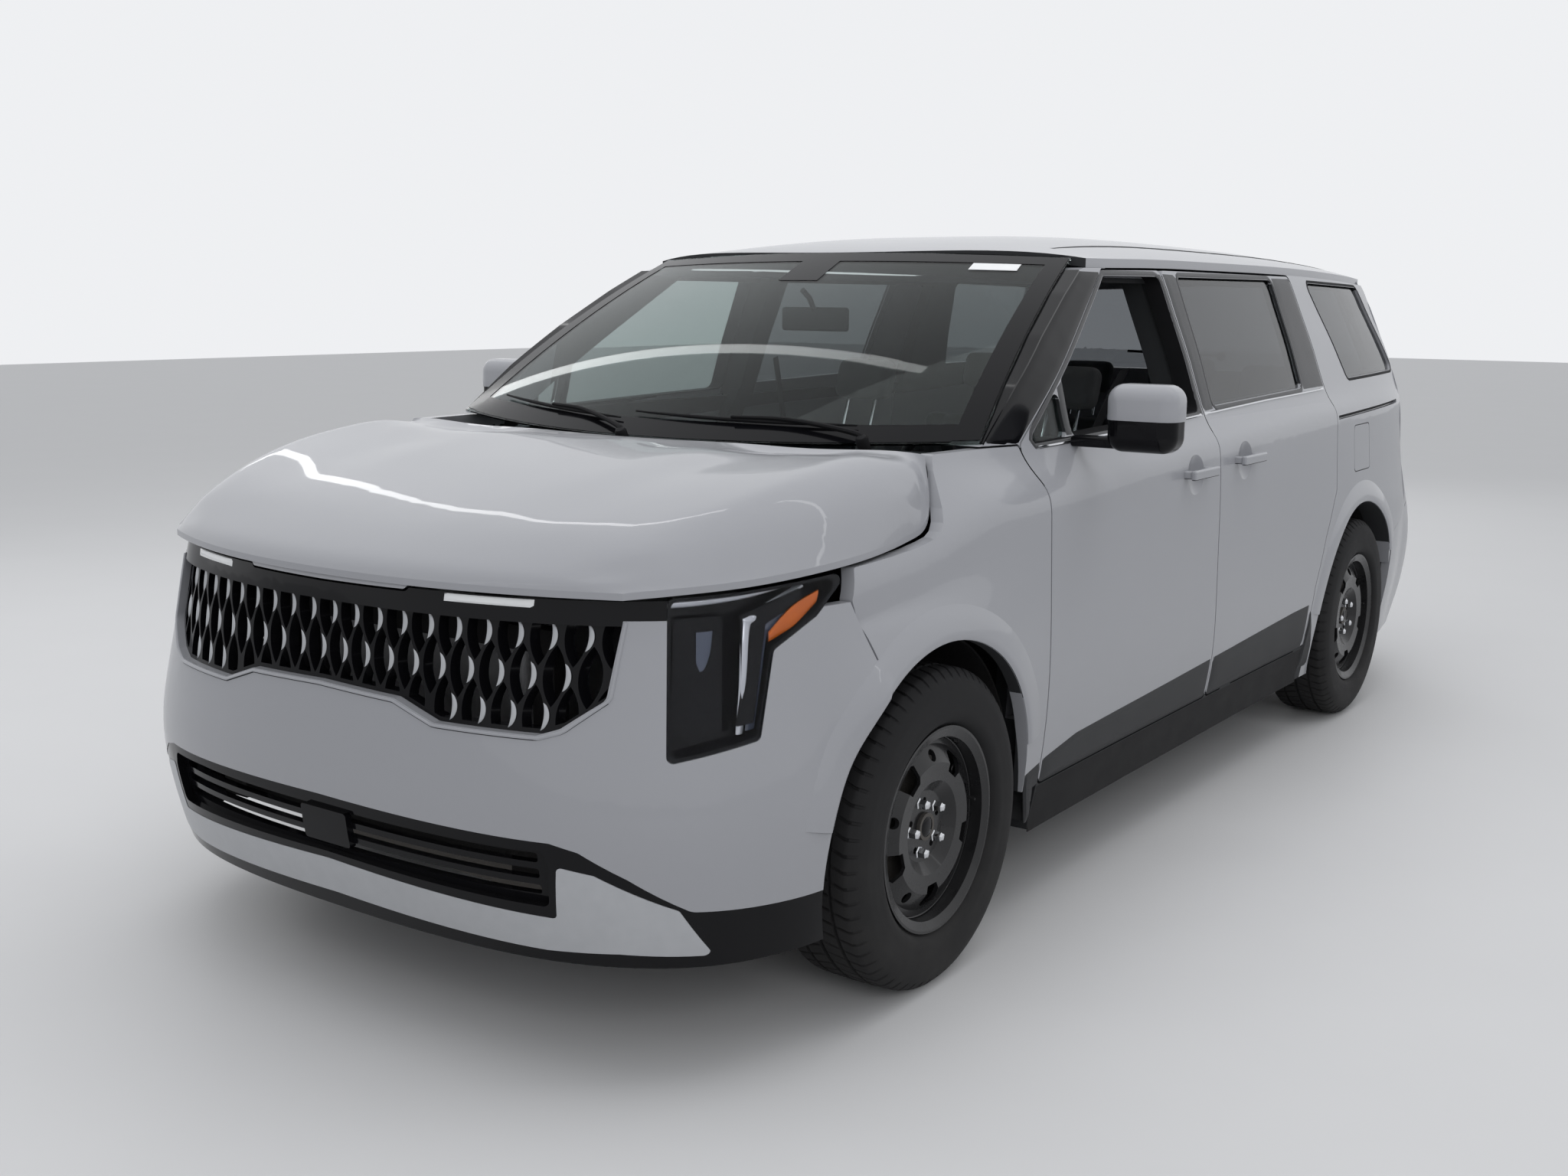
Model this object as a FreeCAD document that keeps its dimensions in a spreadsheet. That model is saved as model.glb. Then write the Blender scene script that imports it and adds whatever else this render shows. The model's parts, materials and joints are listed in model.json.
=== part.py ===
"""A seven-seat minivan, built as separate panels, glass, seats, running gear and wheels.

The frame is in millimetres: +X is the van's left side, -Y is its front, +Z is up, and the
origin lies on the ground under the middle of the body. Free-form outlines are written as
stations on the van at its real size. The functions along, across and above carry a station
to where the driving dimensions put it.
"""
import FreeCAD, Part
import math
import os
import Sketcher

Vector = FreeCAD.Vector
UP = Vector(0, 0, 1)
LEFTWARD = Vector(1, 0, 0)
REARWARD = Vector(0, 1, 0)

SIZES = (
    ("overall_length", 5156),
    ("overall_width", 1994),
    ("overall_height", 1740),
    ("wheelbase", 3090),
    ("front_overhang", 935),
    ("track", 1736),
    ("tyre_radius", 368.6),
    ("tyre_width", 235),
    ("rim_radius", 236),
    ("rim_width", 195),
    ("rim_wall", 6),
    ("rim_disc_wall", 9),
    ("rim_disc_out", 62),
    ("wheel_centre_bore", 32),
    ("wheel_bolt_circle", 60),
    ("wheel_bolt_hole", 8),
    ("front_arch_radius", 430),
    ("rear_arch_radius", 436),
    ("grille_pitch", 67),
    ("grille_rim", 9),
    ("grille_recess", 18),
    ("grille_depth", 26),
    ("panel_gap", 5),
    ("seat_gap", 0.3),
    ("skin_wall", 32),
    ("door_wall", 85),
    ("frame_wall", 42),
    ("bumper_wall", 26),
    ("roof_wall", 25),
    ("hood_wall", 14),
    ("glass_wall", 5),
    ("tailgate_wall", 55),
    ("floor_height", 345),
    ("floor_wall", 30),
    ("sill_bottom", 215),
    ("sill_width", 160),
    ("rail_width", 80),
    ("rail_depth", 110),
    ("arm_wall", 26),
    ("strut_radius", 26),
    ("disc_radius", 160),
    ("disc_wall", 26),
    ("hub_radius", 74),
    ("exhaust_radius", 30),
    ("muffler_radius", 80),
    ("beam_depth", 60),
    ("plate_bolt_hole", 3.5),
    ("plate_bolt_span", 180),
)

doc = FreeCAD.newDocument("minivan")
sheet = doc.addObject("Spreadsheet::Sheet", "sizes")
for row, (name, value) in enumerate(SIZES, start=1):
    sheet.set(f"A{row}", name)
    sheet.set(f"B{row}", str(value))
    sheet.setAlias(f"B{row}", name)
doc.recompute()


def size(name):
    """Reads one driving dimension from the sheet."""
    return float(sheet.get(name))


LENGTH = size("overall_length")
FRONT_AXLE = size("front_overhang") - LENGTH / 2
REAR_AXLE = FRONT_AXLE + size("wheelbase")
WHEEL_X = size("track") / 2
WHEEL_Z = size("tyre_radius")
GAP = size("panel_gap")
SEAT = size("seat_gap")
FLOOR = size("floor_height")
ARCH = {"front": size("front_arch_radius"), "rear": size("rear_arch_radius")}
FAR = 3000

# Stations of the van as drawn, from which the sizes above move it
DRAWN_NOSE, DRAWN_FRONT_AXLE, DRAWN_REAR_AXLE, DRAWN_TAIL = -2578, -1643, 1447, 2578
DRAWN_WIDTH, DRAWN_HEIGHT = 1994, 1740


def smooth(points):
    """Returns a curve through the points, in order of their first value, that never overshoots."""
    places = [point[0] for point in points]
    values = [point[1] for point in points]
    last = len(places) - 1
    slopes = [(values[k + 1] - values[k]) / (places[k + 1] - places[k]) for k in range(last)]
    tangents = [slopes[0]]
    for before, after in zip(slopes, slopes[1:]):
        level = before * after <= 0
        tangents.append(0.0 if level else 2 * before * after / (before + after))
    tangents.append(slopes[-1])

    def at(place):
        place = min(max(place, places[0]), places[-1])
        k = 0
        while k < last - 1 and places[k + 1] <= place:
            k += 1
        step = places[k + 1] - places[k]
        part = (place - places[k]) / step
        rest = 1 - part
        value = values[k] * (1 + 2 * part) * rest ** 2
        value += values[k + 1] * part ** 2 * (3 - 2 * part)
        value += step * tangents[k] * part * rest ** 2
        value -= step * tangents[k + 1] * part ** 2 * rest
        return value

    return at


def along(y):
    """Carries a drawn station along the van to its real place."""
    if y < DRAWN_FRONT_AXLE:
        share = (y - DRAWN_FRONT_AXLE) / (DRAWN_FRONT_AXLE - DRAWN_NOSE)
        return FRONT_AXLE + share * size("front_overhang")
    if y < DRAWN_REAR_AXLE:
        share = (y - DRAWN_FRONT_AXLE) / (DRAWN_REAR_AXLE - DRAWN_FRONT_AXLE)
        return FRONT_AXLE + share * size("wheelbase")
    share = (y - DRAWN_REAR_AXLE) / (DRAWN_TAIL - DRAWN_REAR_AXLE)
    return REAR_AXLE + share * (LENGTH / 2 - REAR_AXLE)


def across(x):
    """Carries a drawn distance from the middle to its real place."""
    return x * size("overall_width") / DRAWN_WIDTH


def above(z):
    """Carries a drawn height to its real place."""
    return z * size("overall_height") / DRAWN_HEIGHT


def spot(x, y, z):
    """A point of the body from its drawn stations."""
    return Vector(across(x), along(y), above(z))


# Lines of the body side, as drawn: distance from the middle, and height, along the van
CREASE_Z = smooth([(-2100, 952), (-1934, 965), (-1676, 990), (-1373, 1050), (-1012, 1066),
                   (-718, 1083), (0, 1112), (1140, 1144), (2300, 1152)])
CREASE_X = smooth([(-2100, 872), (-1934, 925), (-1676, 940), (-1373, 954), (-1012, 966),
                   (-718, 969), (0, 968), (1140, 958), (1800, 936), (2050, 912), (2300, 868)])
BELT_Z = smooth([(-2100, 1180), (-1524, 1190), (-1253, 1168), (-886, 1186), (-216, 1207),
                 (1126, 1236), (2168, 1264), (2300, 1268)])
BELT_X = smooth([(-2100, 800), (-1676, 826), (-1524, 845), (-1253, 880), (-886, 901),
                 (-216, 915), (600, 915), (1126, 908), (1700, 890), (2168, 858), (2300, 842)])
RAIL_X = smooth([(-2100, 750), (-534, 748), (0, 745), (1000, 742), (1600, 728), (2071, 700),
                 (2300, 676)])
RAIL_Z = smooth([(-2100, 1648), (-534, 1650), (0, 1656), (1000, 1653), (1600, 1642),
                 (2071, 1628), (2300, 1614)])
DOOR_X = smooth([(-2100, 950), (-1950, 979), (-1800, 989), (-1643, 993), (-1400, 989),
                 (-1125, 978), (-600, 975), (0, 975), (700, 979), (1100, 987), (1447, 994),
                 (1750, 989), (1950, 976), (2150, 948), (2300, 915)])
WAIST_X = smooth([(-2100, 905), (-1934, 948), (-1800, 964), (-1643, 972), (-1373, 974),
                  (0, 976), (1140, 978), (1447, 978), (1800, 967), (2050, 944), (2300, 897)])
CROWN_Z = smooth([(-700, 1656), (-560, 1684), (-300, 1716), (0, 1734), (300, 1740),
                  (1000, 1734), (1600, 1718), (2071, 1698), (2320, 1680)])
SIDE_STATIONS = (-2060, -1934, -1800, -1676, -1524, -1373, -1200, -1012, -718, -350, 0, 400,
                 800, 1140, 1447, 1750, 1950, 2100, 2250)


def side_column(y):
    """Height and distance from the middle down one station of the body side, bottom first."""
    low, waist = DOOR_X(y), WAIST_X(y)
    crease_x, crease_z = CREASE_X(y), CREASE_Z(y)
    belt_x, belt_z = BELT_X(y), BELT_Z(y)
    rail_x, rail_z = RAIL_X(y), RAIL_Z(y)
    column = [(205, low - 50), (300, low - 34), (420, low - 14), (560, low - 2), (720, low),
              (850, waist), (crease_z - 55, crease_x + 6), (crease_z, crease_x)]
    column.append((0.5 * (crease_z + belt_z), 0.55 * crease_x + 0.45 * belt_x - 3))
    column.append((belt_z, belt_x))
    for part in (1 / 3, 2 / 3):
        height = belt_z + part * (rail_z - belt_z)
        column.append((height, belt_x + part * (rail_x - belt_x) + 7))
    column += [(rail_z, rail_x), (rail_z + 40, rail_x - 34)]
    return column


def side_x(y, z):
    """Distance of the body side from the middle at a drawn station and height."""
    return smooth(side_column(y))(z)


def skin(rows):
    """A smooth face through rows of points."""
    surface = Part.BSplineSurface()
    surface.interpolate(rows)
    return surface.toShape()


def side_face(proud=0.0):
    """The left body side as one face, moved outward by proud."""
    rows = []
    for y in SIDE_STATIONS:
        rows.append([spot(x, y, z) + LEFTWARD * proud for z, x in side_column(y)])
    return skin(rows)


def turned_left(solid):
    """The same shape on the right side of the van."""
    return solid.mirror(Vector(0, 0, 0), LEFTWARD)


def rounded(points, radius, place):
    """A face from a flat outline with rounded corners, where place sets each point in space."""
    edges = []
    count = len(points)
    radii = radius if isinstance(radius, (list, tuple)) else [radius] * count
    ends = []
    for k in range(count):
        here = Vector(*points[k], 0)
        back = Vector(*points[k - 1], 0) - here
        ahead = Vector(*points[(k + 1) % count], 0) - here
        turn = back.getAngle(ahead)
        bends = radii[k] > 0 and turn < math.radians(179)
        reach = radii[k] / math.tan(turn / 2) if bends else 0.0
        reach = min(reach, 0.45 * back.Length, 0.45 * ahead.Length)
        bow = reach * math.tan(turn / 2)
        start = here + back.normalize() * reach
        stop = here + ahead.normalize() * reach
        middle = here
        if reach > 0:
            inward = (back + ahead).normalize()
            middle = here + inward * (bow / math.sin(turn / 2) - bow)
        ends.append((start, middle, stop, reach > 0))
    for k in range(count):
        start, middle, stop, bent = ends[k]
        if bent:
            edges.append(Part.Arc(place(start), place(middle), place(stop)).toShape())
        after = ends[(k + 1) % count][0]
        if (after - stop).Length > 0.01:
            edges.append(Part.LineSegment(place(stop), place(after)).toShape())
    return Part.Face(Part.Wire(Part.sortEdges(edges)[0]))


def inset(points, gap):
    """The same outline with every side moved inward by gap, or outward where gap is negative."""
    count = len(points)
    turn = sum(points[k - 1][0] * points[k][1] - points[k][0] * points[k - 1][1]
               for k in range(count))
    sign = 1 if turn > 0 else -1
    sides = []
    for k in range(count):
        ax, ay = points[k]
        bx, by = points[(k + 1) % count]
        length = math.hypot(bx - ax, by - ay)
        nx, ny = -sign * (by - ay) / length, sign * (bx - ax) / length
        sides.append((ax + nx * gap, ay + ny * gap, bx - ax, by - ay))
    moved = []
    for k in range(count):
        ax, ay, adx, ady = sides[k - 1]
        bx, by, bdx, bdy = sides[k]
        cross = adx * bdy - ady * bdx
        in_line = abs(cross) < 1e-6 * math.hypot(adx, ady) * math.hypot(bdx, bdy)
        share = 0.0 if in_line else ((bx - ax) * bdy - (by - ay) * bdx) / cross
        moved.append((bx, by) if in_line else (ax + share * adx, ay + share * ady))
    return moved


def side_prism(points, radius, inner=0, outer=FAR, gap=0.0):
    """A block seen from the side, its outline drawn as station and height."""
    outline = inset([(along(y), above(z)) for y, z in points], gap)
    face = rounded(outline, radius, lambda point: Vector(inner, point.x, point.y))
    return face.extrude(LEFTWARD * (outer - inner))


def front_face(points, radius, back=0, gap=0.0):
    """A flat face seen from the front, drawn as distance from the middle and height."""
    outline = inset([(across(x), above(z)) for x, z in points], gap)
    return rounded(outline, radius, lambda point: Vector(point.x, back, point.y))


def front_prism(points, radius, back=0, front=-FAR, gap=0.0):
    """A block seen from the front."""
    return front_face(points, radius, back, gap).extrude(REARWARD * (front - back))


def mirrored_outline(points):
    """Adds the right half to the left half of an outline, which runs from the middle out."""
    return points + [(-x, z) for x, z in reversed(points) if x > 0]


def block(x0, x1, y0, y1, z0, z1):
    """A plain block between its real corners."""
    return Part.makeBox(x1 - x0, y1 - y0, z1 - z0, Vector(x0, y0, z0))


def axle_cylinder(radius, axle, inner, outer):
    """A cylinder about a wheel's axle on the left side."""
    return Part.makeCylinder(radius, outer - inner, Vector(inner, axle, WHEEL_Z), LEFTWARD)


def keep(label, shape):
    """Puts a finished shape into the document under its name."""
    piece = doc.addObject("Part::Feature", label)
    piece.Label = label
    piece.Shape = shape
    piece.Placement = shape.Placement
    return piece


# Outlines seen from the side, as station and height
FRONT_DOOR = [(-1125, 345), (8, 345), (8, 430), (-29, 1125), (-34, 1209), (-46, 1624),
              (-452, 1619), (-1140, 1186), (-1125, 1100)]
SLIDING_DOOR = [(13, 345), (905, 345), (938, 560), (1010, 720), (1128, 880), (1128, 1236),
                (1112, 1620), (-41, 1624), (-29, 1209), (-24, 1125), (13, 430)]
FRONT_WINDOW = [(-880, 1194), (-64, 1216), (-72, 1606), (-458, 1604), (-880, 1338)]
CORNER_WINDOW = [(-1082, 1190), (-906, 1194), (-906, 1322), (-1070, 1212)]
SLIDING_WINDOW = [(58, 1226), (885, 1245), (906, 1606), (68, 1606)]
QUARTER_WINDOW = [(1440, 1258), (2140, 1266), (2010, 1588), (1290, 1600)]
FUEL_FLAP = [(1345, 925), (1545, 925), (1545, 1090), (1345, 1090)]
SLIDE_SLOT = [(1150, 1124), (2045, 1140), (2045, 1154), (1150, 1138)]
SLIDE_SLOT_DEPTH = 14

# Sides of the van that carry no door: sill, pillars and rear quarter, up to the roof's underside
ROOF_DROP = (size("roof_wall") + 3 * SEAT) / above(1)
RING_TOP = [(y, RAIL_Z(y) - ROOF_DROP) for y in (2150, 1800, 1400, 1000, 500, 0, -300, -555)]

DOOR_CORNERS = 26


def arch_cut(axle, radius, outer=FAR):
    """What a wheel arch takes out of a panel."""
    return axle_cylinder(radius, axle, 0, outer)


def outer_plate(wall, proud=0.0):
    """The whole left body side as a curved plate of one thickness."""
    return side_face(proud).extrude(LEFTWARD * -wall)


front_arch = arch_cut(FRONT_AXLE, ARCH["front"])
rear_arch = arch_cut(REAR_AXLE, ARCH["rear"])


def door_panel(outline, window_outlines):
    """A whole door: a deep lower part, a slimmer window frame above, and its windows cut."""
    prism = side_prism(outline, DOOR_CORNERS)
    deep = outer_plate(size("door_wall")).common(prism)
    belt = 1190
    lower = deep.common(block(0, FAR, -FAR, FAR, 0, above(belt)))
    frame = outer_plate(size("frame_wall")).common(prism)
    frame = frame.common(block(0, FAR, -FAR, FAR, above(belt), above(1700)))
    panel = lower.fuse(frame)
    for window in window_outlines:
        panel = panel.cut(side_prism(window, 22))
    return panel


def glass_pane(outline, drop=10):
    """A curved pane that fills a window, set in from the panel's face."""
    pane = side_face(-drop).extrude(LEFTWARD * -size("glass_wall"))
    return pane.common(side_prism(outline, 22, gap=SEAT))


def pillar_front():
    """Station and height of the windscreen pillar's front edge, which the glass rests on."""
    edge = []
    for up in (0.92, 0.75, 0.5, 0.25, 0):
        rest = size("glass_wall") + SEAT + up
        x, y, z = windshield_spot(1, up)
        edge.append((y + 0.45 * rest, z - 0.89 * rest))
    return edge


def body_side():
    """Pillars, rail, rear quarter and sill of the left side, as one ring round the doors."""
    outline = [(-1130, 222), (2150, 222)] + RING_TOP + pillar_front()
    outline += [(-1330, 1192), (-1480, 1192), (-1480, 900), (-1130, 900)]
    ring = outer_plate(size("door_wall")).common(side_prism(outline, 0))
    for outline in (FRONT_DOOR, SLIDING_DOOR):
        ring = ring.cut(side_prism(outline, DOOR_CORNERS, gap=-GAP))
    ring = ring.cut(side_prism(OVER_DOORS, 0))
    ring = ring.cut(side_prism(QUARTER_WINDOW, 22))
    ring = ring.cut(rear_arch).cut(front_arch)
    ring = ring.cut(side_prism(fender_outline(), 10, gap=-GAP))
    return ring.fuse(inner_frame())


# Posts and rail of the inner frame that the doors close on
OVER_DOORS = [(-425, 1590), (1085, 1590), (1085, 1700), (-425, 1700)]
HINGE_POST = [(-1160, 222), (-1040, 222), (-1040, 1150), (-1160, 1150)]
CENTRE_POST = [(-64, 222), (44, 222), (28, 1215), (-64, 1215)]
UPPER_POST = [(-56, 1196), (30, 1196), (44, 1600), (-62, 1600)]
RAIL = [(-470, 1586), (1170, 1586), (1170, 1622), (-533, 1619)]
SILL = [(-1128, 222), (985, 222), (985, 318), (-1128, 318)]
HINGES = (470, 960)
GUIDES = (140, 820)
FRAME_DEPTH = size("door_wall") + GAP + 40


def inner_frame():
    """The left hinge post, centre pillar, roof rail and sill behind the doors."""
    whole_plate = outer_plate(FRAME_DEPTH)
    behind_door = outer_plate(size("door_wall") + GAP)
    behind_hinge = outer_plate(size("door_wall") + 12)
    behind_frame = outer_plate(size("frame_wall") + GAP)
    pieces = [whole_plate.common(side_prism(HINGE_POST, 0)).cut(behind_hinge)]
    pieces.append(whole_plate.common(side_prism(CENTRE_POST, 0)).cut(behind_door))
    pieces.append(whole_plate.common(side_prism(SILL, 0)))
    pieces.append(whole_plate.common(side_prism(UPPER_POST, 0)).cut(behind_frame))
    pieces.append(outer_plate(size("door_wall")).common(side_prism(RAIL, 0)).cut(behind_frame))
    behind_fender = outer_plate(size("skin_wall") + GAP)
    for z in HINGES:
        knuckle_plate = [(-1160, z - 40), (-1125, z - 40), (-1125, z + 40), (-1160, z + 40)]
        rear = along(-1125) - SEAT
        hinge = whole_plate.common(side_prism(knuckle_plate, 0)).cut(behind_fender)
        pieces.append(hinge.common(block(0, FAR, -FAR, rear, 0, FAR)))
    for y in GUIDES:
        guide = [(y, 310), (y + 90, 310), (y + 90, 345), (y, 345)]
        guide = outer_plate(70).common(side_prism(guide, 0))
        pieces.append(guide.common(block(0, FAR, -FAR, FAR, 0, above(345) - SEAT)))
    whole = pieces[0]
    for piece in pieces[1:]:
        whole = whole.fuse(piece)
    return whole


def fender_panel():
    """The front fender, from the door's edge to the bumper's."""
    panel = outer_plate(size("skin_wall")).common(side_prism(fender_outline(), 10))
    return panel.cut(front_arch).cut(corner_prism(HEADLAMP, -1, -3))


# Plan outlines of the nose, as distance from the middle and station, at two heights
NOSE_HIGH = [(0, -2545), (140, -2542), (280, -2527), (480, -2480), (650, -2408), (770, -2312),
             (845, -2200), (893, -2070)]
NOSE_LOW = [(0, -2578), (190, -2575), (380, -2560), (575, -2520), (745, -2440), (858, -2335),
            (922, -2215), (955, -2090)]
NOSE_HIGH_Z, NOSE_LOW_Z = 950, 550
NOSE_LEVELS = (215, 300, 400, 500, 600, 720, 840, 950, 1020)
NOSE_BACK = (-1934, -1840)
TAIL_LOW = [(0, 2578), (300, 2574), (560, 2556), (740, 2512), (850, 2440), (915, 2350)]
TAIL_HIGH = [(0, 2508), (300, 2500), (540, 2474), (690, 2425), (785, 2350), (836, 2262)]
TAIL_LEVELS = (215, 320, 430, 560, 680, 770, 880, 1010, 1150, 1270, 1420, 1560, 1640, 1700)
TAIL_FRONT = (2150, 2020, 1880)
TAIL_REACH = smooth([(215, -62), (320, -18), (430, -2), (560, 0), (680, -12), (770, -44),
                     (880, -52), (1010, -60), (1150, -72), (1270, -96), (1420, -172),
                     (1560, -238), (1640, -256), (1700, -268)])


def nose_outline(z, wall):
    """Plan outline of the nose at one height, drawn in by a wall, from right to left."""
    share = min(max((NOSE_HIGH_Z - z) / (NOSE_HIGH_Z - NOSE_LOW_Z), 0.0), 1.0)
    tuck = min(max((NOSE_LOW_Z - z) / 335, 0.0), 1.0) ** 2
    lean = min(max((z - NOSE_HIGH_Z) / 70, 0.0), 1.0)
    half = []
    for (high_x, high_y), (low_x, low_y) in zip(NOSE_HIGH, NOSE_LOW):
        x = high_x + share * (low_x - high_x)
        y = high_y + share * (low_y - high_y)
        y = DRAWN_FRONT_AXLE + (y - DRAWN_FRONT_AXLE) * (1 - 0.07 * tuck - 0.02 * lean)
        half.append((x * (1 - 0.025 * tuck - 0.006 * lean), y))
    half += [(side_x(y, z), y) for y in NOSE_BACK]
    return plan_points(half, z, wall)


def tail_outline(z, wall):
    """Plan outline of the tail at one height, drawn in by a wall."""
    share = min(max((1150 - z) / (1150 - 560), 0.0), 1.0)
    reach = TAIL_REACH(z)
    side = side_x(TAIL_FRONT[0], z)
    side_low, side_high = side_x(TAIL_FRONT[0], 560), side_x(TAIL_FRONT[0], 1150)
    half = []
    for (high_x, high_y), (low_x, low_y) in zip(TAIL_HIGH, TAIL_LOW):
        wide_x = share * low_x / side_low + (1 - share) * high_x / side_high
        deep_y = share * (low_y - DRAWN_TAIL) + (1 - share) * (high_y - TAIL_HIGH[0][1])
        squeeze = 1.0 if z < 1150 else 1 - 0.35 * (z - 1150) / 550
        half.append((wide_x * side, DRAWN_TAIL + reach + deep_y * squeeze))
    ends = [(side_x(y, z), y) for y in TAIL_FRONT]
    return plan_points(half + ends, z, wall)


def plan_points(half, z, wall):
    """Sets half a plan outline inward by a wall and mirrors it, as points in space."""
    real = [(across(x), along(y)) for x, y in half]
    moved = []
    for k, (x, y) in enumerate(real):
        before = real[k - 1] if k else (-real[1][0], real[1][1])
        after = real[k + 1] if k + 1 < len(real) else (x, 2 * y - real[k - 1][1])
        dx, dy = after[0] - before[0], after[1] - before[1]
        length = math.hypot(dx, dy)
        side = 1 if real[0][1] < 0 else -1
        if k == 0:
            moved.append((0.0, y + side * wall))
            continue
        moved.append((x - side * dy / length * wall, y + side * dx / length * wall))
    right = [Vector(-x, y, above(z)) for x, y in reversed(moved[1:])]
    left = [Vector(x, y, above(z)) for x, y in moved]
    return right + left


def wrap_solid(outline, levels, wall=0.0):
    """A solid lofted through plan outlines, closed straight across at its inner end."""
    wires = []
    for z in levels:
        points = outline(z, wall)
        curve = Part.BSplineCurve()
        curve.interpolate(points)
        across_back = Part.LineSegment(points[-1], points[0])
        wires.append(Part.Wire([curve.toShape(), across_back.toShape()]))
    return Part.makeLoft(wires, True, False)


wraps = {}


def wrap(outline, levels, wall):
    """The same solid, made only once for each wall."""
    key = (outline, wall)
    if key not in wraps:
        wraps[key] = wrap_solid(outline, levels, wall)
    return wraps[key]


def tail_part(face_drop, back_drop, region):
    """What lies between two depths under the tail's face, inside a region."""
    front = wrap(tail_outline, TAIL_LEVELS, face_drop).common(region)
    return front.cut(wrap(tail_outline, TAIL_LEVELS, back_drop))


def nose_part(face_drop, back_drop, region):
    """What lies between two depths under the nose's face, inside a region."""
    front = wrap(nose_outline, NOSE_LEVELS, face_drop).common(region)
    return front.cut(wrap(nose_outline, NOSE_LEVELS, back_drop))


# The hood's edge, from the nose back to the cowl
HOOD_EDGE_X = smooth([(-2400, 700), (-2330, 775), (-2200, 848), (-2070, 893), (-1934, 914),
                      (-1676, 901), (-1635, 892), (-1524, 842)])
HOOD_EDGE_Z = smooth([(-2400, 986), (-2330, 994), (-2200, 1000), (-2070, 1009), (-1934, 1017),
                      (-1676, 1034), (-1635, 1050), (-1524, 1190)])
HOOD_LEAD = smooth([(700, -2400), (775, -2330), (848, -2200), (893, -2070), (914, -1934)])
HOOD_REAR_MIDDLE, HOOD_REAR_CORNER = -1569, -1524
HOOD_TOP, HOOD_CREST = 1182, 18
HOOD_FRONT = -2549

# The hood's two creases: the middle panel stands proud and steps down between them
CREASE_INNER = smooth([(-2400, 285), (-2270, 312), (-2130, 330), (-1900, 345), (-1560, 355)])
CREASE_OUTER = smooth([(-2400, 300), (-2270, 350), (-2130, 405), (-1900, 480), (-1560, 545)])
CREASE_STEP = smooth([(-2420, 0), (-2300, 4), (-2000, 10), (-1700, 11), (-1560, 8)])

# Foot of the hood's edge: the tongue in its middle hangs over the black band below
PAINT_TOP, BAND_TOP = 929, 966
TONGUE = mirrored_outline([(0, 1000), (262, 1000), (262, 988), (238, 963), (0, 961)])


def hood_lead(x):
    """Station of the hood's leading edge at a distance from the middle."""
    if abs(x) < 700:
        return HOOD_FRONT + (-2400 - HOOD_FRONT) * (abs(x) / 700) ** 2.2
    return HOOD_LEAD(abs(x))


def crease_rise(x, y):
    """Height that the hood's raised middle adds at a place."""
    inner, outer = CREASE_INNER(y), CREASE_OUTER(y)
    share = min(max((outer - abs(x)) / (outer - inner), 0.0), 1.0)
    return CREASE_STEP(y) * share


def swell(share, power):
    """Rises from 0 to 1 steeply at first, as a rounded edge does."""
    share = min(max(share, 0.0), 1.0)
    return (1 - (1 - share) ** power) ** (1 / power)


def hood_face():
    """The hood's outer face: a low crown that rolls down to its front and side edges."""
    rows = []
    for j in range(11):
        back = 1 - math.cos(math.pi / 2 * j / 10)
        row = []
        for i in range(-12, 13):
            wide = math.sin(math.pi / 2 * i / 12)
            y_edge = -2400 + back * (HOOD_REAR_CORNER + 2400)
            y_front = HOOD_FRONT + (-2400 - HOOD_FRONT) * abs(wide) ** 2.2
            y_rear = HOOD_REAR_MIDDLE + (HOOD_REAR_CORNER - HOOD_REAR_MIDDLE) * wide ** 2
            x = wide * HOOD_EDGE_X(y_edge)
            y = y_front + back * (y_rear - y_front)
            behind = (y - hood_lead(x)) / (1000 - 350 * (x / 780) ** 2)
            inside = (HOOD_EDGE_X(y) - abs(x)) / 135
            if abs(i) == 12:
                inside = 0.0
            if j == 0:
                behind = 0.0
            edge = HOOD_EDGE_Z(y)
            top = HOOD_TOP + HOOD_CREST * (x / 780) ** 2
            rise = swell(behind, 1.6) * swell(inside, 2)
            row.append(spot(x, y, edge + (top + crease_rise(x, y) - edge) * rise))
        rows.append(row)
    return skin(rows)


def hood_panel():
    """The hood, as a sheet that follows its face, with the tongue at its front."""
    face = hood_face()
    wall = size("hood_wall")
    tongue = nose_part(0, wall, front_prism(TONGUE, 12)).cut(face.extrude(UP * 300))
    return face.extrude(UP * -wall).fuse(tongue)


def fender_outline():
    """The fender seen from the side: its top follows the hood's edge."""
    drop = (size("hood_wall") + GAP + 3) / above(1)
    top = [(y, HOOD_EDGE_Z(y) - drop) for y in (-1660, -1720, -1780, -1850, -1926)]
    return ([(-1130, 345), (-1130, 1098), (-1146, 1188), (-1300, 1192), (-1500, 1192), (-1522, 1158),
             (-1540, 1120), (-1560, 1080), (-1580, 1051), (-1600, 1033), (-1622, 1023)]
            + top + [(-1950, 930), (-1886, 752), (-1850, 345)])


def windshield_spot(wide, up):
    """Drawn place on the windshield, by shares of its half width and of its height."""
    x = wide * (862 + up * (712 - 862))
    y = -1508 + 208 * wide ** 2 + up * (860 - 98 * wide ** 2)
    z = 1184 + 22 * wide ** 2 + up * (484 - 38 * wide ** 2)
    bow = 26 * 4 * up * (1 - up)
    return x, y - 0.45 * bow, z + 0.89 * bow


def windshield_face():
    """The windshield: curved across, and bowed a little from bottom to top."""
    rows = []
    for j in range(7):
        rows.append([spot(*windshield_spot(i / 6, j / 6)) for i in range(-6, 7)])
    return skin(rows)


def windshield_glass():
    """The windshield as one curved pane."""
    return windshield_face().extrude(Vector(0, 0.45, -0.89) * size("glass_wall"))


def roof_z(x, y):
    """Drawn height of the roof."""
    crown, rail = CROWN_Z(y), RAIL_Z(y)
    return crown - (crown - rail) * (abs(x) / RAIL_X(y)) ** 3.2


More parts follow.
